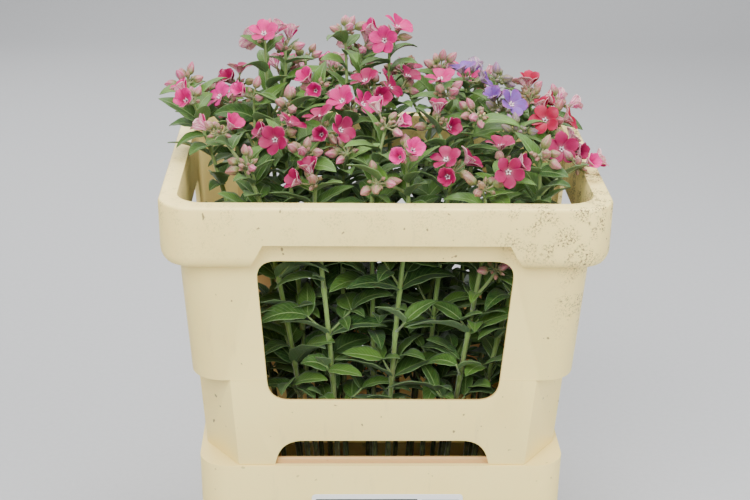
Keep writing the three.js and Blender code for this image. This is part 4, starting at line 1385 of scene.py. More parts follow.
@dataclass
class FineSpray(FinePart):
    """The fine flowering top of one plant: stalks, small leaves, blooms and buds."""

    def __post_init__(self) -> None:
        """Starts its pieces and its random numbers."""
        self.play = np.random.default_rng(SPRAY_SEED + self.plant.index)
        node = self.plant.node("spray")
        self.green = Piece(f"{node}_green", "foliage", (node,))
        self.petals = Piece(f"{node}_petals", "petals", (node,))

    def build(self, finishes: Finishes) -> None:
        """Builds the green parts, and the petals and buds.

        Args:
            finishes: the materials.
        """
        plant = self.plant
        for k, stalk in enumerate(plant.stalks):
            self.stalk(stalk, STEM.top_radius if k == 0 else STEM.side_stalk)
            self.young_leaves(stalk)
        for bract in plant.bracts:
            self.green.patches.append(leaf_patch(bract, leaf_tint(self.play, 0.20), self.play))
        for bloom in plant.blooms:
            self.bloom(bloom)
        for bud in plant.buds:
            self.bud(bud)
        for stalk in plant.stalks:
            self.small_buds(stalk)
        self.green.build(finishes)
        self.petals.build(finishes)

    def stalk(self, stalk: Stalk, radius: float) -> None:
        """A stalk that tapers to its head and swells a little there.

        Args:
            stalk: the stalk.
            radius: at its start.
        """
        shares = np.linspace(0, 1, 13)
        knob = [stalk.head - stalk.axis, stalk.head + stalk.axis]
        points = np.array([stalk.point(share) for share in shares] + knob)
        radii = np.append(radius + (STEM.stalk_tip - radius) * shares, [1.9, 1.2])
        self.green.patches.append(tube(points, radii, 9, np.array([0.16, 0.24, 0.065]), Finish.STALK))

    def young_leaves(self, stalk: Stalk) -> None:
        """Small light leaves in turns up a stalk.

        Args:
            stalk: the stalk.
        """
        for n, share in enumerate(YOUNG_LEAVES):
            heading = stalk.heading + (n // 2 % 2 + 2 * (n % 2)) * math.pi / 2
            root, owner = stalk.point(share), self.plant.spray
            blade = self.arrangement.small_leaf(YOUNG, root, heading, owner, self.play)
            if blade is not None:
                tint = leaf_tint(self.play, 0.28 + 0.35 * share)
                self.green.patches.append(leaf_patch(blade, tint, self.play, 10, 5))

    def pedicel(self, root: Array, end: Array) -> None:
        """The thin stalk of one bloom or bud, bent down by a sine.

        Args:
            root: its start.
            end: its end.
        """
        shares = np.linspace(0, 1, 6)[:, None]
        points = root + (end - root) * shares + np.array([0, 0, -0.7]) * np.sin(math.pi * shares)
        tint = np.array([0.17, 0.20, 0.07]) + shares * np.array([0.03, -0.03, 0.0])
        radii = FLOWER.pedicel_radius * (1.15 - 0.25 * np.sin(math.pi * shares[:, 0]))
        self.green.patches.append(tube(points, radii, 6, tint, Finish.STALK))

    def bloom(self, bloom: Bloom) -> None:
        """A bloom with its petals, crown, sepals and pedicel.

        Args:
            bloom: the bloom.
        """
        throat = bloom.centre - bloom.axis * FLOWER.tube
        self.pedicel(bloom.root, throat)
        self.green.patches += sepal_patches(throat, bloom.axis, bloom.turn + 0.6, 6.0, 0.42)
        self.petals.patches += [petal_patch(bloom, n, self.plant.colour, self.play) for n in range(PETALS)]
        self.petals.patches += crown_patches(bloom)

    def bud(self, bud: Bud) -> None:
        """A bud with its sepals and pedicel.

        Args:
            bud: the bud.
        """
        self.pedicel(bud.root, bud.root + bud.axis * bud.stalk)
        spindle, *sepals = bud_patches(bud, self.plant.colour, self.play)
        self.petals.patches.append(spindle)
        self.green.patches += sepals

    def small_buds(self, stalk: Stalk) -> None:
        """Unripe buds among the others of a head, on the facets that are free.

        Args:
            stalk: the head's stalk.
        """
        play = self.play
        for facet in range(FACETS):
            if facet in stalk.taken or play.uniform() < 0.45:
                continue
            axis = stalk.facet(facet, play.uniform(-0.15, 0.15), play.uniform(-8, 8))
            reach = play.uniform(3.5, 6.5)
            length = play.uniform(4.5, 8)
            self.bud(Bud(facet, stalk.head, axis, reach, length, play.uniform(1.1, 1.8)))


COLOUR_SOCKET, FLOAT_SOCKET, VECTOR_SOCKET = "NodeSocketColor", "NodeSocketFloat", "NodeSocketVector"
SURFACE_OUTPUTS = {"Base Color": COLOUR_SOCKET, "Roughness": FLOAT_SOCKET, "Normal": VECTOR_SOCKET}


class Graph:
    """Short calls that build one node tree."""

    def __init__(self, tree: bpy.types.NodeTree) -> None:
        """Works in a tree."""
        self.tree = tree

    def node(self, kind: str, **values: object) -> bpy.types.Node:
        """Adds a node and sets its properties.

        Args:
            kind: the node's type.
            values: its properties by name.

        Returns:
            The node.
        """
        node = self.tree.nodes.new(kind)
        for name, value in values.items():
            setattr(node, name, value)
        return node

    def feed(self, socket: Socket, value: Value) -> None:
        """Links a socket to an output, or sets its value.

        Args:
            socket: an input.
            value: what it gets, or None to leave it.
        """
        if isinstance(value, Socket):
            self.tree.links.new(value, socket)
        elif value is not None:
            socket.default_value = value

    def math(self, operation: str, one: Value, two: Value = None, three: Value = None) -> Socket:
        """A Math node's result.

        Args:
            operation: the node's operation.
            one: its first value.
            two: its second.
            three: its third.

        Returns:
            The result.
        """
        node = self.node("ShaderNodeMath", operation=operation)
        for socket, value in zip(node.inputs, (one, two, three)):
            self.feed(socket, value)
        return node.outputs[0]

    def times(self, one: Value, two: Value) -> Socket:
        """The product of two values."""
        return self.math("MULTIPLY", one, two)

    def mix(self, factor: Value, one: Value, two: Value, blend: str = "MIX") -> Socket:
        """A colour mix. Sockets 6 and 7 of the node are its two colours.

        Args:
            factor: the share of the second colour.
            one: a colour.
            two: a colour.
            blend: how they mix.

        Returns:
            The colour.
        """
        node = self.node("ShaderNodeMix", data_type="RGBA", blend_type=blend)
        self.feed(node.inputs["Factor"], factor)
        self.feed(node.inputs[6], one)
        self.feed(node.inputs[7], two)
        return node.outputs[2]

    def span(
        self, value: Value, low: float, high: float, to_low: float = 0, to_high: float = 1,
        kind: str = "SMOOTHSTEP",
    ) -> Socket:
        """A value mapped from one range to another and clamped.

        Args:
            value: what is mapped.
            low: where it starts.
            high: where it ends.
            to_low: the result at the start.
            to_high: the result at the end.
            kind: of interpolation.

        Returns:
            The mapped value.
        """
        node = self.node("ShaderNodeMapRange", interpolation_type=kind)
        for socket, number in zip(node.inputs, (value, low, high, to_low, to_high)):
            self.feed(socket, number)
        return node.outputs[0]

    def noise(self, vector: Value, scale: Value, detail: float = 3.0, roughness: float = 0.55) -> Socket:
        """A noise factor.

        Args:
            vector: the place.
            scale: how fine it is.
            detail: its octaves.
            roughness: the strength of the finer ones.

        Returns:
            The factor.
        """
        node = self.node("ShaderNodeTexNoise")
        self.feed(node.inputs["Vector"], vector)
        self.feed(node.inputs["Scale"], scale)
        node.inputs["Detail"].default_value = detail
        node.inputs["Roughness"].default_value = roughness
        return node.outputs["Fac"]

    def surface(self, shader: bpy.types.Node, colour: Value, roughness: Value, normal: Value = None) -> None:
        """Feeds a shader's colour, roughness and normal."""
        for name, value in zip(SURFACE_OUTPUTS, (colour, roughness, normal)):
            self.feed(shader.inputs[name], value)

    def place(self) -> Socket:
        """Object coordinates."""
        return self.node("ShaderNodeTexCoord").outputs["Object"]

    def uv(self) -> tuple[Socket, Socket]:
        """The UV's two numbers, across and along."""
        return self.split(self.node("ShaderNodeUVMap", uv_map="UVMap").outputs[0])[:2]

    def split(self, vector: Value) -> tuple[Socket, Socket, Socket]:
        """A vector's three numbers.

        Args:
            vector: the vector.

        Returns:
            Its x, y and z.
        """
        node = self.node("ShaderNodeSeparateXYZ")
        self.feed(node.inputs[0], vector)
        return node.outputs[0], node.outputs[1], node.outputs[2]

    def join(self, x: Value, y: Value, z: Value) -> Socket:
        """A vector of three numbers.

        Args:
            x: the first.
            y: the second.
            z: the third.

        Returns:
            The vector.
        """
        node = self.node("ShaderNodeCombineXYZ")
        for socket, value in zip(node.inputs, (x, y, z)):
            self.feed(socket, value)
        return node.outputs[0]

    def attribute(self, name: str, output: str) -> Socket:
        """A mesh attribute."""
        return self.node("ShaderNodeAttribute", attribute_name=name).outputs[output]

    def bump(self, height: Value, strength: float, distance: float) -> Socket:
        """A bumped normal.

        Args:
            height: the relief.
            strength: how much it shows.
            distance: its depth in metres.

        Returns:
            The normal.
        """
        node = self.node("ShaderNodeBump")
        node.inputs["Strength"].default_value = strength
        node.inputs["Distance"].default_value = distance
        self.feed(node.inputs["Height"], height)
        return node.outputs[0]


class Group:
    """A shader node group, built once and placed in each material with its own values."""

    def __init__(self, name: str, **inputs: str) -> None:
        """Makes a group with named inputs, and with a surface's colour, roughness and normal as its outputs.

        Args:
            name: of the group.
            inputs: socket types by name.
        """
        self.tree = bpy.data.node_groups.new(name, "ShaderNodeTree")
        for way, sockets in (("INPUT", inputs), ("OUTPUT", SURFACE_OUTPUTS)):
            for label, kind in sockets.items():
                self.tree.interface.new_socket(label, in_out=way, socket_type=kind)
        self.graph = Graph(self.tree)
        self.given = self.graph.node("NodeGroupInput").outputs
        self.result = self.graph.node("NodeGroupOutput").inputs

    def put_out(self, *values: Value) -> None:
        """Links the group's outputs, in their order."""
        for socket, value in zip(self.result, values):
            self.graph.feed(socket, value)

    def dress(self, graph: Graph, shader: bpy.types.Node, **values: Value) -> None:
        """Places the group in a material, and links each output to the shader's socket of that name.

        Args:
            graph: of the material.
            shader: of the material.
            values: the group's inputs by name.
        """
        node = graph.node("ShaderNodeGroup", node_tree=self.tree)
        for label, value in values.items():
            graph.feed(node.inputs[label], value)
        for output in node.outputs:
            graph.feed(shader.inputs[output.name], output)


def new_material(name: str, **constants: Value) -> tuple[bpy.types.Material, Graph, bpy.types.Node]:
    """A node material with a bare principled shader.

    Args:
        name: of the material.
        constants: the shader's sockets by name, with an underscore for each space.

    Returns:
        The material, its graph and its shader.
    """
    material = bpy.data.materials.new(name)
    material.use_nodes = True
    shader = material.node_tree.nodes["Principled BSDF"]
    for socket, value in constants.items():
        shader.inputs[socket.replace("_", " ")].default_value = value
    return material, Graph(material.node_tree), shader


def leaf_material() -> bpy.types.Material:
    """Leaf green with a pale midrib, side veins, light margins and a paler, duller back.

    Returns:
        The material.
    """
    material, graph, shader = new_material(
        "leaf", Specular_IOR_Level=0.34, Sheen_Weight=0.07, Sheen_Roughness=0.45, Subsurface_Weight=0.05,
        Subsurface_Scale=0.002,
    )
    across, along = graph.uv()
    off = graph.math("ABSOLUTE", graph.math("MULTIPLY_ADD", across, 2.0, -1.0))
    rising = graph.math("SUBTRACT", graph.times(along, 11.0), graph.times(off, 2.6))
    wave = graph.math("PINGPONG", rising, 0.5)
    vein = graph.span(wave, 0.0, 0.11, 1.0, 0.0)
    midrib = graph.span(off, 0.015, 0.085, 1.0, 0.0)
    margin = graph.span(off, 0.93, 1.0)
    under = graph.attribute("side", "Fac")
    mottle = graph.noise(graph.place(), 260.0, 4.0)
    patchy = graph.noise(graph.place(), 46.0, 2.0)
    tint = graph.attribute("tint", "Color")
    colour = graph.mix(graph.span(mottle, 0.3, 0.75, 0.0, 0.35), tint, (0.10, 0.21, 0.03, 1))
    colour = graph.mix(graph.span(patchy, 0.35, 0.7, 0.0, 0.4), colour, (0.010, 0.034, 0.009, 1))
    colour = graph.mix(graph.times(vein, 0.26), colour, (0.13, 0.25, 0.07, 1))
    colour = graph.mix(graph.times(margin, 0.35), colour, (0.24, 0.33, 0.15, 1))
    colour = graph.mix(graph.times(under, 0.42), colour, (0.13, 0.22, 0.09, 1))
    colour = graph.mix(graph.times(midrib, 0.55), colour, (0.26, 0.37, 0.13, 1))
    relief = graph.math("ADD", graph.times(vein, -0.6), graph.times(mottle, 0.5))
    relief = graph.math("ADD", relief, graph.times(midrib, -0.8))
    roughness = graph.span(mottle, 0.2, 0.8, 0.40, 0.58)
    graph.surface(shader, colour, roughness, graph.bump(relief, 0.55, 0.0006))
    return material


def stalk_material() -> bpy.types.Material:
    """Pale downy green of stems, stalks and sepals.

    Returns:
        The material.
    """
    material, graph, shader = new_material(
        "stalk", Specular_IOR_Level=0.35, Sheen_Weight=0.35, Sheen_Roughness=0.4, Subsurface_Weight=0.08,
        Subsurface_Scale=0.002,
    )
    place = graph.place()
    x, y, z = graph.split(place)
    streaks = graph.noise(graph.join(x, y, graph.times(z, 0.12)), 900.0, 2.0)
    patchy = graph.noise(place, 60.0, 2.0)
    tint = graph.attribute("tint", "Color")
    colour = graph.mix(graph.span(streaks, 0.35, 0.7, 0.0, 0.35), tint, (0.26, 0.34, 0.13, 1))
    colour = graph.mix(graph.span(patchy, 0.5, 0.75, 0.0, 0.30), colour, (0.20, 0.14, 0.07, 1))
    down = graph.bump(graph.noise(place, 2600.0, 2.0), 0.4, 0.0003)
    graph.surface(shader, colour, graph.span(streaks, 0.2, 0.8, 0.5, 0.68), down)
    return material


def petal_material() -> bpy.types.Material:
    """Waxy petals, fine-veined on the face and pale with streaks on the back.

    Returns:
        The material.
    """
    material, graph, shader = new_material(
        "petal", Specular_IOR_Level=0.28, Subsurface_Weight=0.06, Subsurface_Scale=0.002,
    )
    across, along = graph.uv()
    place = graph.place()
    drawn = graph.join(graph.times(across, 9.0), graph.times(along, 0.9), 0.0)
    lines = graph.noise(drawn, 1.6, 2.0)
    blotch = graph.noise(place, 210.0, 3.0)
    tint = graph.attribute("tint", "Color")
    side = graph.attribute("side", "Fac")
    face = graph.mix(graph.span(lines, 0.42, 0.66, 0.0, 0.38), tint, (0.16, 0.0, 0.030, 1))
    face = graph.mix(graph.span(along, 0.75, 1.0, 0.0, 0.14), face, (0.72, 0.06, 0.30, 1))
    back = graph.mix(graph.span(lines, 0.44, 0.56, 0.0, 0.72), tint, (0.88, 0.74, 0.64, 1))
    back = graph.mix(graph.span(blotch, 0.5, 0.7, 0.0, 0.4), back, (0.48, 0.03, 0.20, 1))
    roughness = graph.span(blotch, 0.2, 0.8, 0.42, 0.60)
    graph.surface(shader, graph.mix(side, face, back), roughness, graph.bump(lines, 0.35, 0.0004))
    return material


class Mottle(Group):
    """A light mottle over a surface's own tint. Its input is Grain."""

    def __init__(self) -> None:
        """Builds the group."""
        super().__init__("soft_mottle", Grain=FLOAT_SOCKET)
        graph = self.graph
        mottle = graph.noise(graph.place(), self.given["Grain"], 3.0)
        tint = graph.attribute("tint", "Color")
        darker = graph.mix(1.0, tint, (0.72, 0.62, 0.62, 1), "MULTIPLY")
        colour = graph.mix(graph.span(mottle, 0.35, 0.7), tint, darker)
        self.put_out(colour, graph.span(mottle, 0.2, 0.8, 0.42, 0.6), graph.bump(mottle, 0.3, 0.0003))


def tinted_material(name: str, mottle: Mottle, grain: float, sheen: float) -> bpy.types.Material:
    """A plant surface whose colour comes from its mesh, lightly mottled.

    Args:
        name: of the material.
        mottle: the shared mottle.
        grain: how fine it is.
        sheen: the down's strength.

    Returns:
        The material.
    """
    material, graph, shader = new_material(
        name, Specular_IOR_Level=0.4, Sheen_Weight=sheen, Sheen_Roughness=0.4, Subsurface_Weight=0.1,
        Subsurface_Scale=0.002,
    )
    mottle.dress(graph, shader, Grain=grain)
    return material


@dataclass(frozen=True)
class PlasticFinish:
    """A moulded plastic, with how worn it is and how strong the brown painted shade inside it is."""

    name: str
    base: Colour
    shade: Colour
    scuff: float
    # Strength of the brown painted shade inside the collar, which stands for shade and light through the
    # walls.
    inner_shade: float = 0.75


CREAM = PlasticFinish("cream_plastic", (0.94, 0.76, 0.29, 1), (0.89, 0.68, 0.225, 1), 1.0)
CREAM_LOWER = PlasticFinish("cream_plastic_bucket", (0.93, 0.75, 0.29, 1), (0.89, 0.68, 0.225, 1), 0.5)


class WearAndShade(Group):
    """The plastic's clouds, streaks and scuffs, and a brown painted shade inside the collar.
    Its inputs are Base, Shade, Scuff and Glow.
    """

    def __init__(self) -> None:
        """Builds the group."""
        super().__init__(
            "moulded_wear_and_shade", Base=COLOUR_SOCKET, Shade=COLOUR_SOCKET, Scuff=FLOAT_SOCKET, Glow=FLOAT_SOCKET,
        )
        graph, given = self.graph, self.given
        self.place = graph.place()
        self.x, self.y, self.z = graph.split(self.place)
        cloud = graph.noise(self.place, 9.0, 4.0)
        colour = graph.mix(graph.span(cloud, 0.35, 0.7, 0.0, 0.35), given["Base"], given["Shade"])
        worn = graph.times(self.scuffs(), given["Scuff"])
        colour = graph.mix(worn, colour, (0.085, 0.06, 0.035, 1))
        # Painted shade: brown inside the collar and bucket, for their shaded inner walls lit through the
        # plastic.
        within = graph.times(self.painted_shade_inside(), given["Glow"])
        colour = graph.mix(within, colour, (0.46, 0.22, 0.085, 1))
        streak = graph.noise(graph.join(self.x, self.y, graph.times(self.z, 0.15)), 120.0, 3.0)
        colour = graph.mix(graph.span(streak, 0.60, 0.78, 0.0, 0.16), colour, (0.42, 0.34, 0.22, 1))
        fine = graph.bump(graph.noise(self.place, 1400.0, 2.0), 0.12, 0.0002)
        self.put_out(colour, graph.span(cloud, 0.3, 0.7, 0.40, 0.52), fine)

    def scuffs(self) -> Socket:
        """A mask of scuffs: a few along the rim, more at its right end, and some lone specks.

        The scuffs are fine noise within blots, in zones by height and side.

        Returns:
            The mask.
        """
        graph, place = self.graph, self.place
        rim = graph.times(graph.span(self.z, 0.400, 0.434), 0.22)
        right = graph.span(self.x, 0.06, 0.17, 0.1, 1.0)
        side = graph.times(right, graph.span(self.z, 0.375, 0.41))
        below = graph.span(self.z, 0.27, 0.36, 0.0, 0.6)
        below = graph.times(graph.span(self.x, 0.14, 0.175), below)
        zone = graph.math("MAXIMUM", graph.math("MAXIMUM", rim, side), below)
        blot = graph.span(graph.noise(place, 55.0, 3.0), 0.43, 0.58)
        specks = graph.span(graph.noise(place, 480.0, 5.0, 0.8), 0.50, 0.59)
        lone = graph.span(graph.noise(place, 150.0, 1.0), 0.74, 0.78)
        worn = graph.times(graph.times(zone, blot), specks)
        worn = graph.math("MAXIMUM", worn, graph.times(lone, 0.5))
        return graph.math("MINIMUM", graph.times(worn, 1.5), 1.0)

    def painted_shade_inside(self) -> Socket:
        """The painted shade's mask: 1 within the collar's outer faces and cut corners, fading towards the
        rim.

        Returns:
            The mask.
        """
        graph = self.graph
        lean = graph.times(self.z, COLLAR.lean)
        level = graph.math("SUBTRACT", graph.math("ABSOLUTE", self.x), lean)
        depth = graph.math("SUBTRACT", graph.math("ABSOLUTE", self.y), lean)
        half_x = (COLLAR.half_width(0) - COLLAR.lower_inset - 2.5) * METRES
        half_y = half_x + (COLLAR.lower_inset - COLLAR.depth_less) * METRES
        within = graph.math("LESS_THAN", level, half_x)
        within = graph.times(within, graph.math("LESS_THAN", depth, half_y))
        corner_x = graph.span(level, half_x - COLLAR.chamfer_x * METRES, half_x, kind="LINEAR")
        corner_y = graph.span(depth, half_y - COLLAR.chamfer_y * METRES, half_y, kind="LINEAR")
        corner = graph.math("LESS_THAN", graph.math("ADD", corner_x, corner_y), 0.99)
        within = graph.times(within, corner)
        return graph.times(within, graph.span(self.z, 0.30, 0.42, 1.0, 0.0))


def plastic_material(finish: PlasticFinish, wear_and_shade: WearAndShade) -> bpy.types.Material:
    """Cream moulded plastic, with a brown painted shade inside the collar.

    Args:
        finish: its colours and wear.
        wear_and_shade: the shared group of clouds, streaks, scuffs and painted shade.

    Returns:
        The material.
    """
    material, graph, shader = new_material(
        finish.name, Specular_IOR_Level=0.42, Subsurface_Weight=0.06, Subsurface_Scale=0.006,
    )
    wear_and_shade.dress(graph, shader, Base=finish.base, Shade=finish.shade, Scuff=finish.scuff, Glow=finish.inner_shade)
    return material


def card_material() -> bpy.types.Material:
    """A white card with a plain dark panel on its left and a plain light one on its right.

    Returns:
        The material.
    """
    material, graph, shader = new_material("card", Specular_IOR_Level=0.4)
    place = graph.place()
    x, _, z = graph.split(place)
    fibre = graph.noise(place, 900.0, 3.0)
    above = graph.math("GREATER_THAN", z, PANEL_LOW)
    level = graph.times(above, graph.math("LESS_THAN", z, PANEL_HIGH))

    def panel(left: float, right: float) -> Socket:
        """1 between two sides of the card's middle height."""
        inside = graph.times(graph.math("GREATER_THAN", x, left), level)
        return graph.times(inside, graph.math("LESS_THAN", x, right))

    white = graph.mix(graph.span(fibre, 0.3, 0.7, 0.0, 0.3), (0.80, 0.80, 0.78, 1), (0.72, 0.71, 0.68, 1))
    colour = graph.mix(panel(*DARK_PANEL), white, (0.035, 0.045, 0.04, 1))
    colour = graph.mix(panel(*LIGHT_PANEL), colour, (0.60, 0.62, 0.60, 1))
    graph.surface(shader, colour, graph.span(fibre, 0.2, 0.8, 0.45, 0.62), graph.bump(fibre, 0.15, 0.0002))
    return material


def water_material() -> bpy.types.Material:
    """Still, slightly green water.

    Returns:
        The material.
    """
    material, graph, shader = new_material(
        "water", Metallic=0.0, Transmission_Weight=1.0, IOR=1.33, Roughness=0.02,
        Base_Color=(0.80, 0.88, 0.80, 1),
    )
    ripple = graph.noise(graph.place(), 26.0, 1.0)
    graph.feed(shader.inputs["Normal"], graph.bump(ripple, 0.08, 0.001))
    return material


def floor_material() -> bpy.types.Material:
    """Plain pale studio paper.

    Returns:
        The material.
    """
    material, graph, shader = new_material("studio_paper", Specular_IOR_Level=0.2, Roughness=0.85)
    grain = graph.noise(graph.place(), 160.0, 3.0)
    colour = graph.mix(graph.span(grain, 0.3, 0.7), (0.43, 0.435, 0.445, 1), (0.415, 0.42, 0.43, 1))
    graph.feed(shader.inputs["Base Color"], colour)
    return material


class Moulding:
    """Solid modelling of the container in fine levels."""

    CORNER_STEPS = 12
    CURVE_STEPS = 9
    EDGE_STEPS = 3

    def rounded(self, half_x: float, half_y: float, radius: float) -> Array:
        """A level outline with round corners, counter-clockwise seen from above.

        Args:
            half_x: half its width.
            half_y: half its depth.
            radius: of the corners.

        Returns:
            The outline as rows of x and y.
        """
        points = []
        for sign_x, sign_y, start in ((1, 1, 0), (-1, 1, 90), (-1, -1, 180), (1, -1, 270)):
            angles = np.radians(start + 90 * np.arange(self.CORNER_STEPS + 1) / self.CORNER_STEPS)
            x = sign_x * (half_x - radius) + radius * np.cos(angles)
            y = sign_y * (half_y - radius) + radius * np.sin(angles)
            points.append(np.stack([x, y], axis=1))
        return np.concatenate(points)

    @staticmethod
    def chamfered(half_x: float, half_y: float, cut_x: float, cut_y: float) -> Array:
        """A level outline with cut corners.

        Args:
            half_x: half its width.
            half_y: half its depth.
            cut_x: a corner's width.
            cut_y: a corner's depth.

        Returns:
            The outline as rows of x and y.
        """
        quarter = np.array([[half_x, half_y - cut_y], [half_x - cut_x, half_y]])
        mirrored = quarter[::-1] * np.array([-1, 1])
        half = np.concatenate([quarter, mirrored])
        return np.concatenate([half, -half])

    def solid(self, name: str, outline: Outline, *levels: tuple[float, float]) -> bpy.types.Object:
        """A closed solid lofted through level outlines of equal counts.

        Args:
            name: of the object.
            outline: gives it at a height and an inset.
            levels: heights and insets, upwards.

        Returns:
            The object.
        """
        outlines = [outline(z, inset) for z, inset in levels]
        count = len(outlines[0])
        points = [(x, y, z) for (z, _), level in zip(levels, outlines) for x, y in level]
        faces = [tuple(reversed(range(count)))]
        for row in range(len(levels) - 1):
            low, high = row * count, (row + 1) * count
            for i in range(count):
                after = (i + 1) % count
                faces.append((low + i, low + after, high + after, high + i))
        faces.append(tuple(range((len(levels) - 1) * count, len(levels) * count)))
        return self.mesh_object(name, np.array(points), faces)

    @staticmethod
    def mesh_object(name: str, points: Array, faces: list[tuple[int, ...]]) -> bpy.types.Object:
        """An object in metres from points in millimetres.

        Args:
            name: of the object.
            points: rows of x, y and z.
            faces: the points' numbers, face by face.

        Returns:
            The object.
        """
        mesh = bpy.data.meshes.new(name)
        mesh.from_pydata((points * METRES).tolist(), [], faces)
        mesh.update()
        shape = bpy.data.objects.new(name, mesh)
        bpy.context.scene.collection.objects.link(shape)
        return shape

    def window_outline(self, window: Window) -> Array:
        """A window's outline in width and height, with quadratic corners.

        Args:
            window: its sizes.

        Returns:
            The outline as rows of width and height.
        """
        half_bottom, half_top, radius = window.half_bottom, window.half_top, window.radius
        low, high = window.bottom, window.top
        drawn = (half_top - half_bottom) * radius / (high - low)
        lower = self.arc((half_bottom - radius, low), (half_bottom, low), (half_bottom + drawn, low + radius))
        upper = self.arc((half_top - drawn, high - radius), (half_top, high), (half_top - radius, high))
        right = np.concatenate([lower, upper])
        left = right[::-1] * np.array([-1, 1])
        return np.concatenate([right, left])

    def arc(self, start: Point, corner: Point, end: Point) -> Array:
        """A quadratic curve.

        Args:
            start: where it starts.
            corner: what it bends to.
            end: where it ends.

        Returns:
            The points as rows.
        """
        share = np.linspace(0, 1, self.CURVE_STEPS)[:, None]
        start, corner, end = (np.array(point, dtype=float) for point in (start, corner, end))
        return start * (1 - share) ** 2 + 2 * corner * share * (1 - share) + end * share**2

    def through(self, outline: Array, turned: bool) -> bpy.types.Object:
        """An outline in width and height pushed through the container along Y, or along X when turned.

        Args:
            outline: rows of width and height.
            turned: whether it goes along X.

        Returns:
            The object.
        """
        count = len(outline)
        reach = BAND.half_width + 20 if turned else BAND.half_depth + 20
        depths = np.repeat([reach, -reach], count)
        points = np.stack([np.tile(outline[:, 0], 2), depths, np.tile(outline[:, 1], 2)], axis=1)
        if turned:
            points = np.stack([-points[:, 1], points[:, 0], points[:, 2]], axis=1)
        faces = [tuple(reversed(range(count))), tuple(range(count, 2 * count))]
        faces += [(i, (i + 1) % count, count + (i + 1) % count, count + i) for i in range(count)]
        return self.mesh_object("opening", points, faces)

    @staticmethod
    def combine(base: bpy.types.Object, operation: str, *others: bpy.types.Object) -> bpy.types.Object:
        """Applies one boolean after another to a base, and removes the other shapes.

        Args:
            base: the shape that stays.
            operation: the boolean's kind.
            others: the shapes that go.

        Returns:
            The base.
        """
        for other in others:
            step = base.modifiers.new("cut", "BOOLEAN")
            step.operation = operation
            step.solver = "EXACT"
            step.object = other
        Moulding.settle(base)
        for other in others:
            bpy.data.objects.remove(other)
        return base

    @staticmethod
    def settle(shape: bpy.types.Object) -> None:
        """Applies a shape's modifiers to its mesh.

        Args:
            shape: the object.
        """
        bpy.context.view_layer.update()
        evaluated = shape.evaluated_get(bpy.context.evaluated_depsgraph_get())
        mesh = bpy.data.meshes.new_from_object(evaluated)
        shape.modifiers.clear()
        shape.data = mesh

    def eased(self, shape: bpy.types.Object, width: float) -> bpy.types.Object:
        """Rounds the sharp edges, and shades the rest smooth.

        Args:
            shape: the object.
            width: of the rounding.

        Returns:
            The object.
        """
        step = shape.modifiers.new("edges", "BEVEL")
        step.width = width * METRES
        step.segments = self.EDGE_STEPS
        step.limit_method = "ANGLE"
        step.angle_limit = math.radians(32)
        step.use_clamp_overlap = True
        self.settle(shape)
        shape.data.shade_smooth()
        shape.data.set_sharp_from_angle(angle=math.radians(38))
        return shape


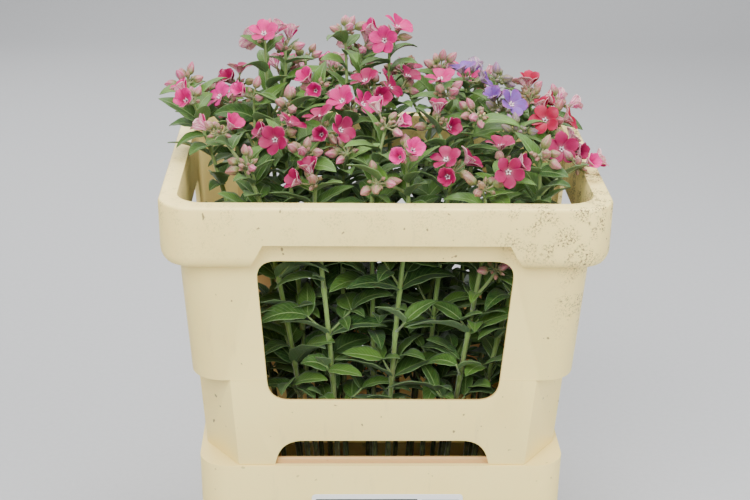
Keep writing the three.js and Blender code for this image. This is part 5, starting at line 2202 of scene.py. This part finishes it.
@dataclass
class Container(Moulding):
    """The collar, the bucket, the card and the water."""

    collar_finish: bpy.types.Material
    bucket_finish: bpy.types.Material

    def collar_level(self, z: float, inset: float) -> Array:
        """The collar's upper outline at a height."""
        half_x = COLLAR.half_width(z) - inset
        return self.rounded(half_x, half_x - COLLAR.depth_less, COLLAR.corner - inset)

    def lower_level(self, z: float, inset: float) -> Array:
        """The collar's lower outline at a height, so far inside its outer face.

        Args:
            z: the height.
            inset: from its outer face.

        Returns:
            The outline.
        """
        half_x = COLLAR.half_width(z) - COLLAR.lower_inset - inset
        half_y = COLLAR.half_width(z) - COLLAR.depth_less - inset
        eased = 0.56 * inset
        return self.chamfered(half_x, half_y, COLLAR.chamfer_x - eased, COLLAR.chamfer_y - eased)

    def band_level(self, _: float, inset: float) -> Array:
        """The rim band's outline, the same at every height."""
        return self.rounded(BAND.half_width - inset, BAND.half_depth - inset, BAND.corner - inset)

    def recess(self, half: float, turned: bool) -> bpy.types.Object:
        """What is cut from the band over a window.

        Args:
            half: half its upper width.
            turned: whether it goes along X.

        Returns:
            The object.
        """
        spread = BAND.recess_half_bottom - BAND.recess_half_top
        below, above = BAND.bottom - 5, BAND.recess_bottom
        outline = np.array([[-half - spread, below], [half + spread, below], [half, above], [-half, above]])
        return self.through(outline, turned)

    def collar(self) -> None:
        """The collar: rim band, leaning walls, windows and lower slots."""
        top, bottom, wall = COLLAR.top, BAND.bottom, COLLAR.wall
        band = self.solid(
            "collar_fine", self.band_level, (bottom, 8), (bottom + 1.5, 5), (bottom + 4, 3),
            (bottom + 8, 1.3), (bottom + 12, 0.6), (top - 3, 0), (top - 1, 0.7), (top, 2),
        )
        recesses = self.recess(BAND.recess_half_top, False), self.recess(BAND.side_recess_half, True)
        band = self.combine(band, "DIFFERENCE", *recesses)
        upper = self.solid("upper", self.collar_level, (COLLAR.shoulder, 0), (top - 2, 0))
        lower = self.solid("lower", self.lower_level, (COLLAR.bottom, 0), (COLLAR.shoulder + 1, 0))
        shell = self.combine(band, "UNION", upper, lower)
        ledge = COLLAR.shoulder + 4
        hollow = self.solid("hollow", self.collar_level, (ledge, wall), (top + 2, wall))
        under = self.solid("under", self.lower_level, (COLLAR.bottom - 2, wall), (ledge + 1, wall))
        cuts = [self.through(self.window_outline(window), turned) for window, turned in OPENINGS]
        shell = self.combine(shell, "DIFFERENCE", hollow, under, *cuts)
        shell.data.materials.clear()
        self.eased(shell, 1.1).data.materials.append(self.collar_finish)
        adopt(shell, "collar_plastic", "collar")

    def bucket_level(self, z: float, inset: float) -> Array:
        """The bucket's outline at a height, so far inside its outer face.

        Args:
            z: the height.
            inset: from its outer face.

        Returns:
            The outline.
        """
        drawn = inset + BUCKET.foot_inset * (1 - z / BUCKET.height)
        radius = max(BUCKET.corner - drawn, 6)
        return self.rounded(BUCKET.half_width - drawn, BUCKET.half_depth - drawn, radius)

    def lip_level(self, _: float, inset: float) -> Array:
        """The outline of the ridge that keeps the collar in place, the same at every height."""
        return self.lower_level(COLLAR.bottom, COLLAR.wall + BUCKET.lip_play + inset)

    def bucket(self) -> None:
        """The bucket, with its rim and the ridge inside the collar's foot."""
        top, wall = BUCKET.height, BUCKET.wall
        lip_top, lip_width = top + BUCKET.lip_height, BUCKET.lip_width
        outer = self.solid("bucket_fine", self.bucket_level, (0, 3), (1, 1.2), (3, 0), (top, 0))
        lip = self.solid("lip", self.lip_level, (top - 1, 0), (lip_top - 1.5, 0), (lip_top, 1))
        hollow = self.solid(
            "bucket_hollow", self.bucket_level, (BUCKET.floor, wall), (top - BUCKET.rim_drop, wall),
            (top - 2, BUCKET.rim_inset),
        )
        mouth = self.solid("mouth", self.lip_level, (top - 3, lip_width), (lip_top + 2, lip_width))
        shape = self.combine(self.combine(outer, "UNION", lip), "DIFFERENCE", hollow, mouth)
        shape.data.materials.clear()
        self.eased(shape, 0.8).data.materials.append(self.bucket_finish)
        adopt(shape, "bucket_plastic", "bucket")

    def card(self) -> None:
        """A thin card with round corners, on the bucket's front."""
        low, high = (np.array(corner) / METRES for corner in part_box("label_card"))
        middle, half = (low + high) / 2, (high - low) / 2
        outline = self.rounded(half[0], half[2], 4)
        slant = math.atan(BUCKET.foot_inset / BUCKET.height)
        levels = []
        for depth, inset in CARD_SECTIONS:
            level = outline * (1 - inset / half[0])
            y = middle[1] - depth - math.tan(slant) * level[:, 1]
            levels.append(np.stack([middle[0] + level[:, 0], y, middle[2] + level[:, 1]], axis=1))
        count = len(outline)
        last = (len(CARD_SECTIONS) - 1) * count
        faces = [tuple(reversed(range(count))), tuple(range(last, last + count))]
        for low_row in range(0, last, count):
            for i in range(count):
                after = (i + 1) % count
                faces.append((low_row + count + after, low_row + count + i, low_row + i, low_row + after))
        card = self.mesh_object("label_card_fine", np.concatenate(levels), faces)
        card.data.materials.append(card_material())
        card.data.shade_smooth()
        card.data.set_sharp_from_angle(angle=math.radians(40))
        adopt(card, "card", "label_card")

    @staticmethod
    def water(node: bpy.types.Object) -> None:
        """Gives the water's own CAD node its finish.

        Args:
            node: its CAD node.
        """
        node.data.materials.clear()
        node.data.materials.append(water_material())
        log.info("%s: CAD node kept, %d faces", node.name, len(node.data.polygons))


@dataclass(frozen=True)
class Light:
    """An area light. Places are in metres."""

    name: str
    place: tuple[float, float, float]
    aim: tuple[float, float, float]
    size: float
    power: float
    colour: tuple[float, float, float] = (1.0, 1.0, 1.0)


class Studio:
    """Floor, lights, sky and camera."""

    LIGHTS = (
        Light("key", (-0.7, -1.7, 1.9), (0, 0, 0.35), 1.4, 88),
        Light("fill", (1.6, -1.2, 1.2), (0, 0, 0.3), 1.5, 42),
        Light("top", (0.1, 0.3, 2.2), (0, 0, 0.4), 1.2, 46),
        Light("back", (-0.9, 1.8, 1.3), (0, 0.2, 0.4), 1.2, 16),
        Light("backdrop", (0, 0.9, 2.6), (0, 3.2, 0.6), 2.2, 48),
    )

    def floor(self) -> None:
        """A pale floor that curves up to a far backdrop."""
        reach, start, bend, height, below = 16.0, 2.2, 1.2, 8.0, 0.0002
        front = np.array([[-reach, 0.0], [0.5, 0.0]])
        angle = np.linspace(0, 1, 25) * math.pi / 2
        curve = np.stack([start + bend * np.sin(angle), bend * (1 - np.cos(angle))], axis=1)
        profile = np.concatenate([front, curve, [[start + bend, height]]])
        points = [(x, y, z - below) for x in (-reach, reach) for y, z in profile]
        count = len(profile)
        faces = [(i, count + i, count + i + 1, i + 1) for i in range(count - 1)]
        mesh = bpy.data.meshes.new("studio_floor")
        mesh.from_pydata(points, [], faces)
        mesh.shade_smooth()
        mesh.materials.append(floor_material())
        floor = bpy.data.objects.new("studio_floor", mesh)
        bpy.context.scene.collection.objects.link(floor)

    def lights(self) -> None:
        """Soft area lights and a pale sky."""
        for light in self.LIGHTS:
            data = bpy.data.lights.new(light.name, "AREA")
            data.energy = light.power
            data.size = light.size
            data.color = light.colour
            lamp = bpy.data.objects.new(light.name, data)
            lamp.location = light.place
            way = Vector(light.aim) - Vector(light.place)
            lamp.rotation_euler = way.to_track_quat("-Z", "Y").to_euler()
            bpy.context.scene.collection.objects.link(lamp)
        world = bpy.data.worlds.new("sky")
        world.use_nodes = True
        background = world.node_tree.nodes["Background"]
        background.inputs["Color"].default_value = (0.97, 0.98, 1.0, 1)
        background.inputs["Strength"].default_value = 0.47
        bpy.context.scene.world = world

    def camera(self) -> None:
        """The camera fitted to the photograph."""
        azimuth, elevation, roll = math.radians(-1.692), math.radians(21.333), math.radians(0.793)
        target = Vector((-0.005832, 0.0, 0.343845))
        distance = 1.515424
        level = math.cos(elevation)
        back = Vector((math.sin(azimuth) * level, -math.cos(azimuth) * level, math.sin(elevation)))
        right = (-back).cross(Vector((0, 0, 1))).normalized()
        up = right.cross(-back)
        turned_right = right * math.cos(roll) + up * math.sin(roll)
        turned_up = up * math.cos(roll) - right * math.sin(roll)
        data = bpy.data.cameras.new("camera")
        data.sensor_width = 36.0
        data.lens = 74.95
        data.clip_start = 0.05
        camera = bpy.data.objects.new("camera", data)
        basis = Matrix((turned_right, turned_up, back)).transposed().to_4x4()
        camera.matrix_world = Matrix.Translation(target + back * distance) @ basis
        bpy.context.scene.collection.objects.link(camera)
        bpy.context.scene.camera = camera


def main() -> None:
    """Builds the scene."""
    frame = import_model()
    studio = Studio()
    studio.camera()
    studio.floor()
    studio.lights()
    wear_and_shade = WearAndShade()
    container = Container(plastic_material(CREAM, wear_and_shade), plastic_material(CREAM_LOWER, wear_and_shade))
    container.collar()
    container.bucket()
    container.card()
    container.water(frame["nodes"]["water"])
    mottle = Mottle()
    finishes = {
        Finish.STALK: stalk_material(),
        Finish.LEAF: leaf_material(),
        Finish.PETAL: petal_material(),
        Finish.CROWN: tinted_material("crown", mottle, 700.0, 0.1),
        Finish.BUD: tinted_material("bud", mottle, 900.0, 0.2),
    }
    arrangement = Arrangement()
    arrangement.hang_over()
    for plant in arrangement.plants:
        FineStem(plant, arrangement).build(finishes)
        FineSpray(plant, arrangement).build(finishes)


if __name__ == "__main__":
    main()
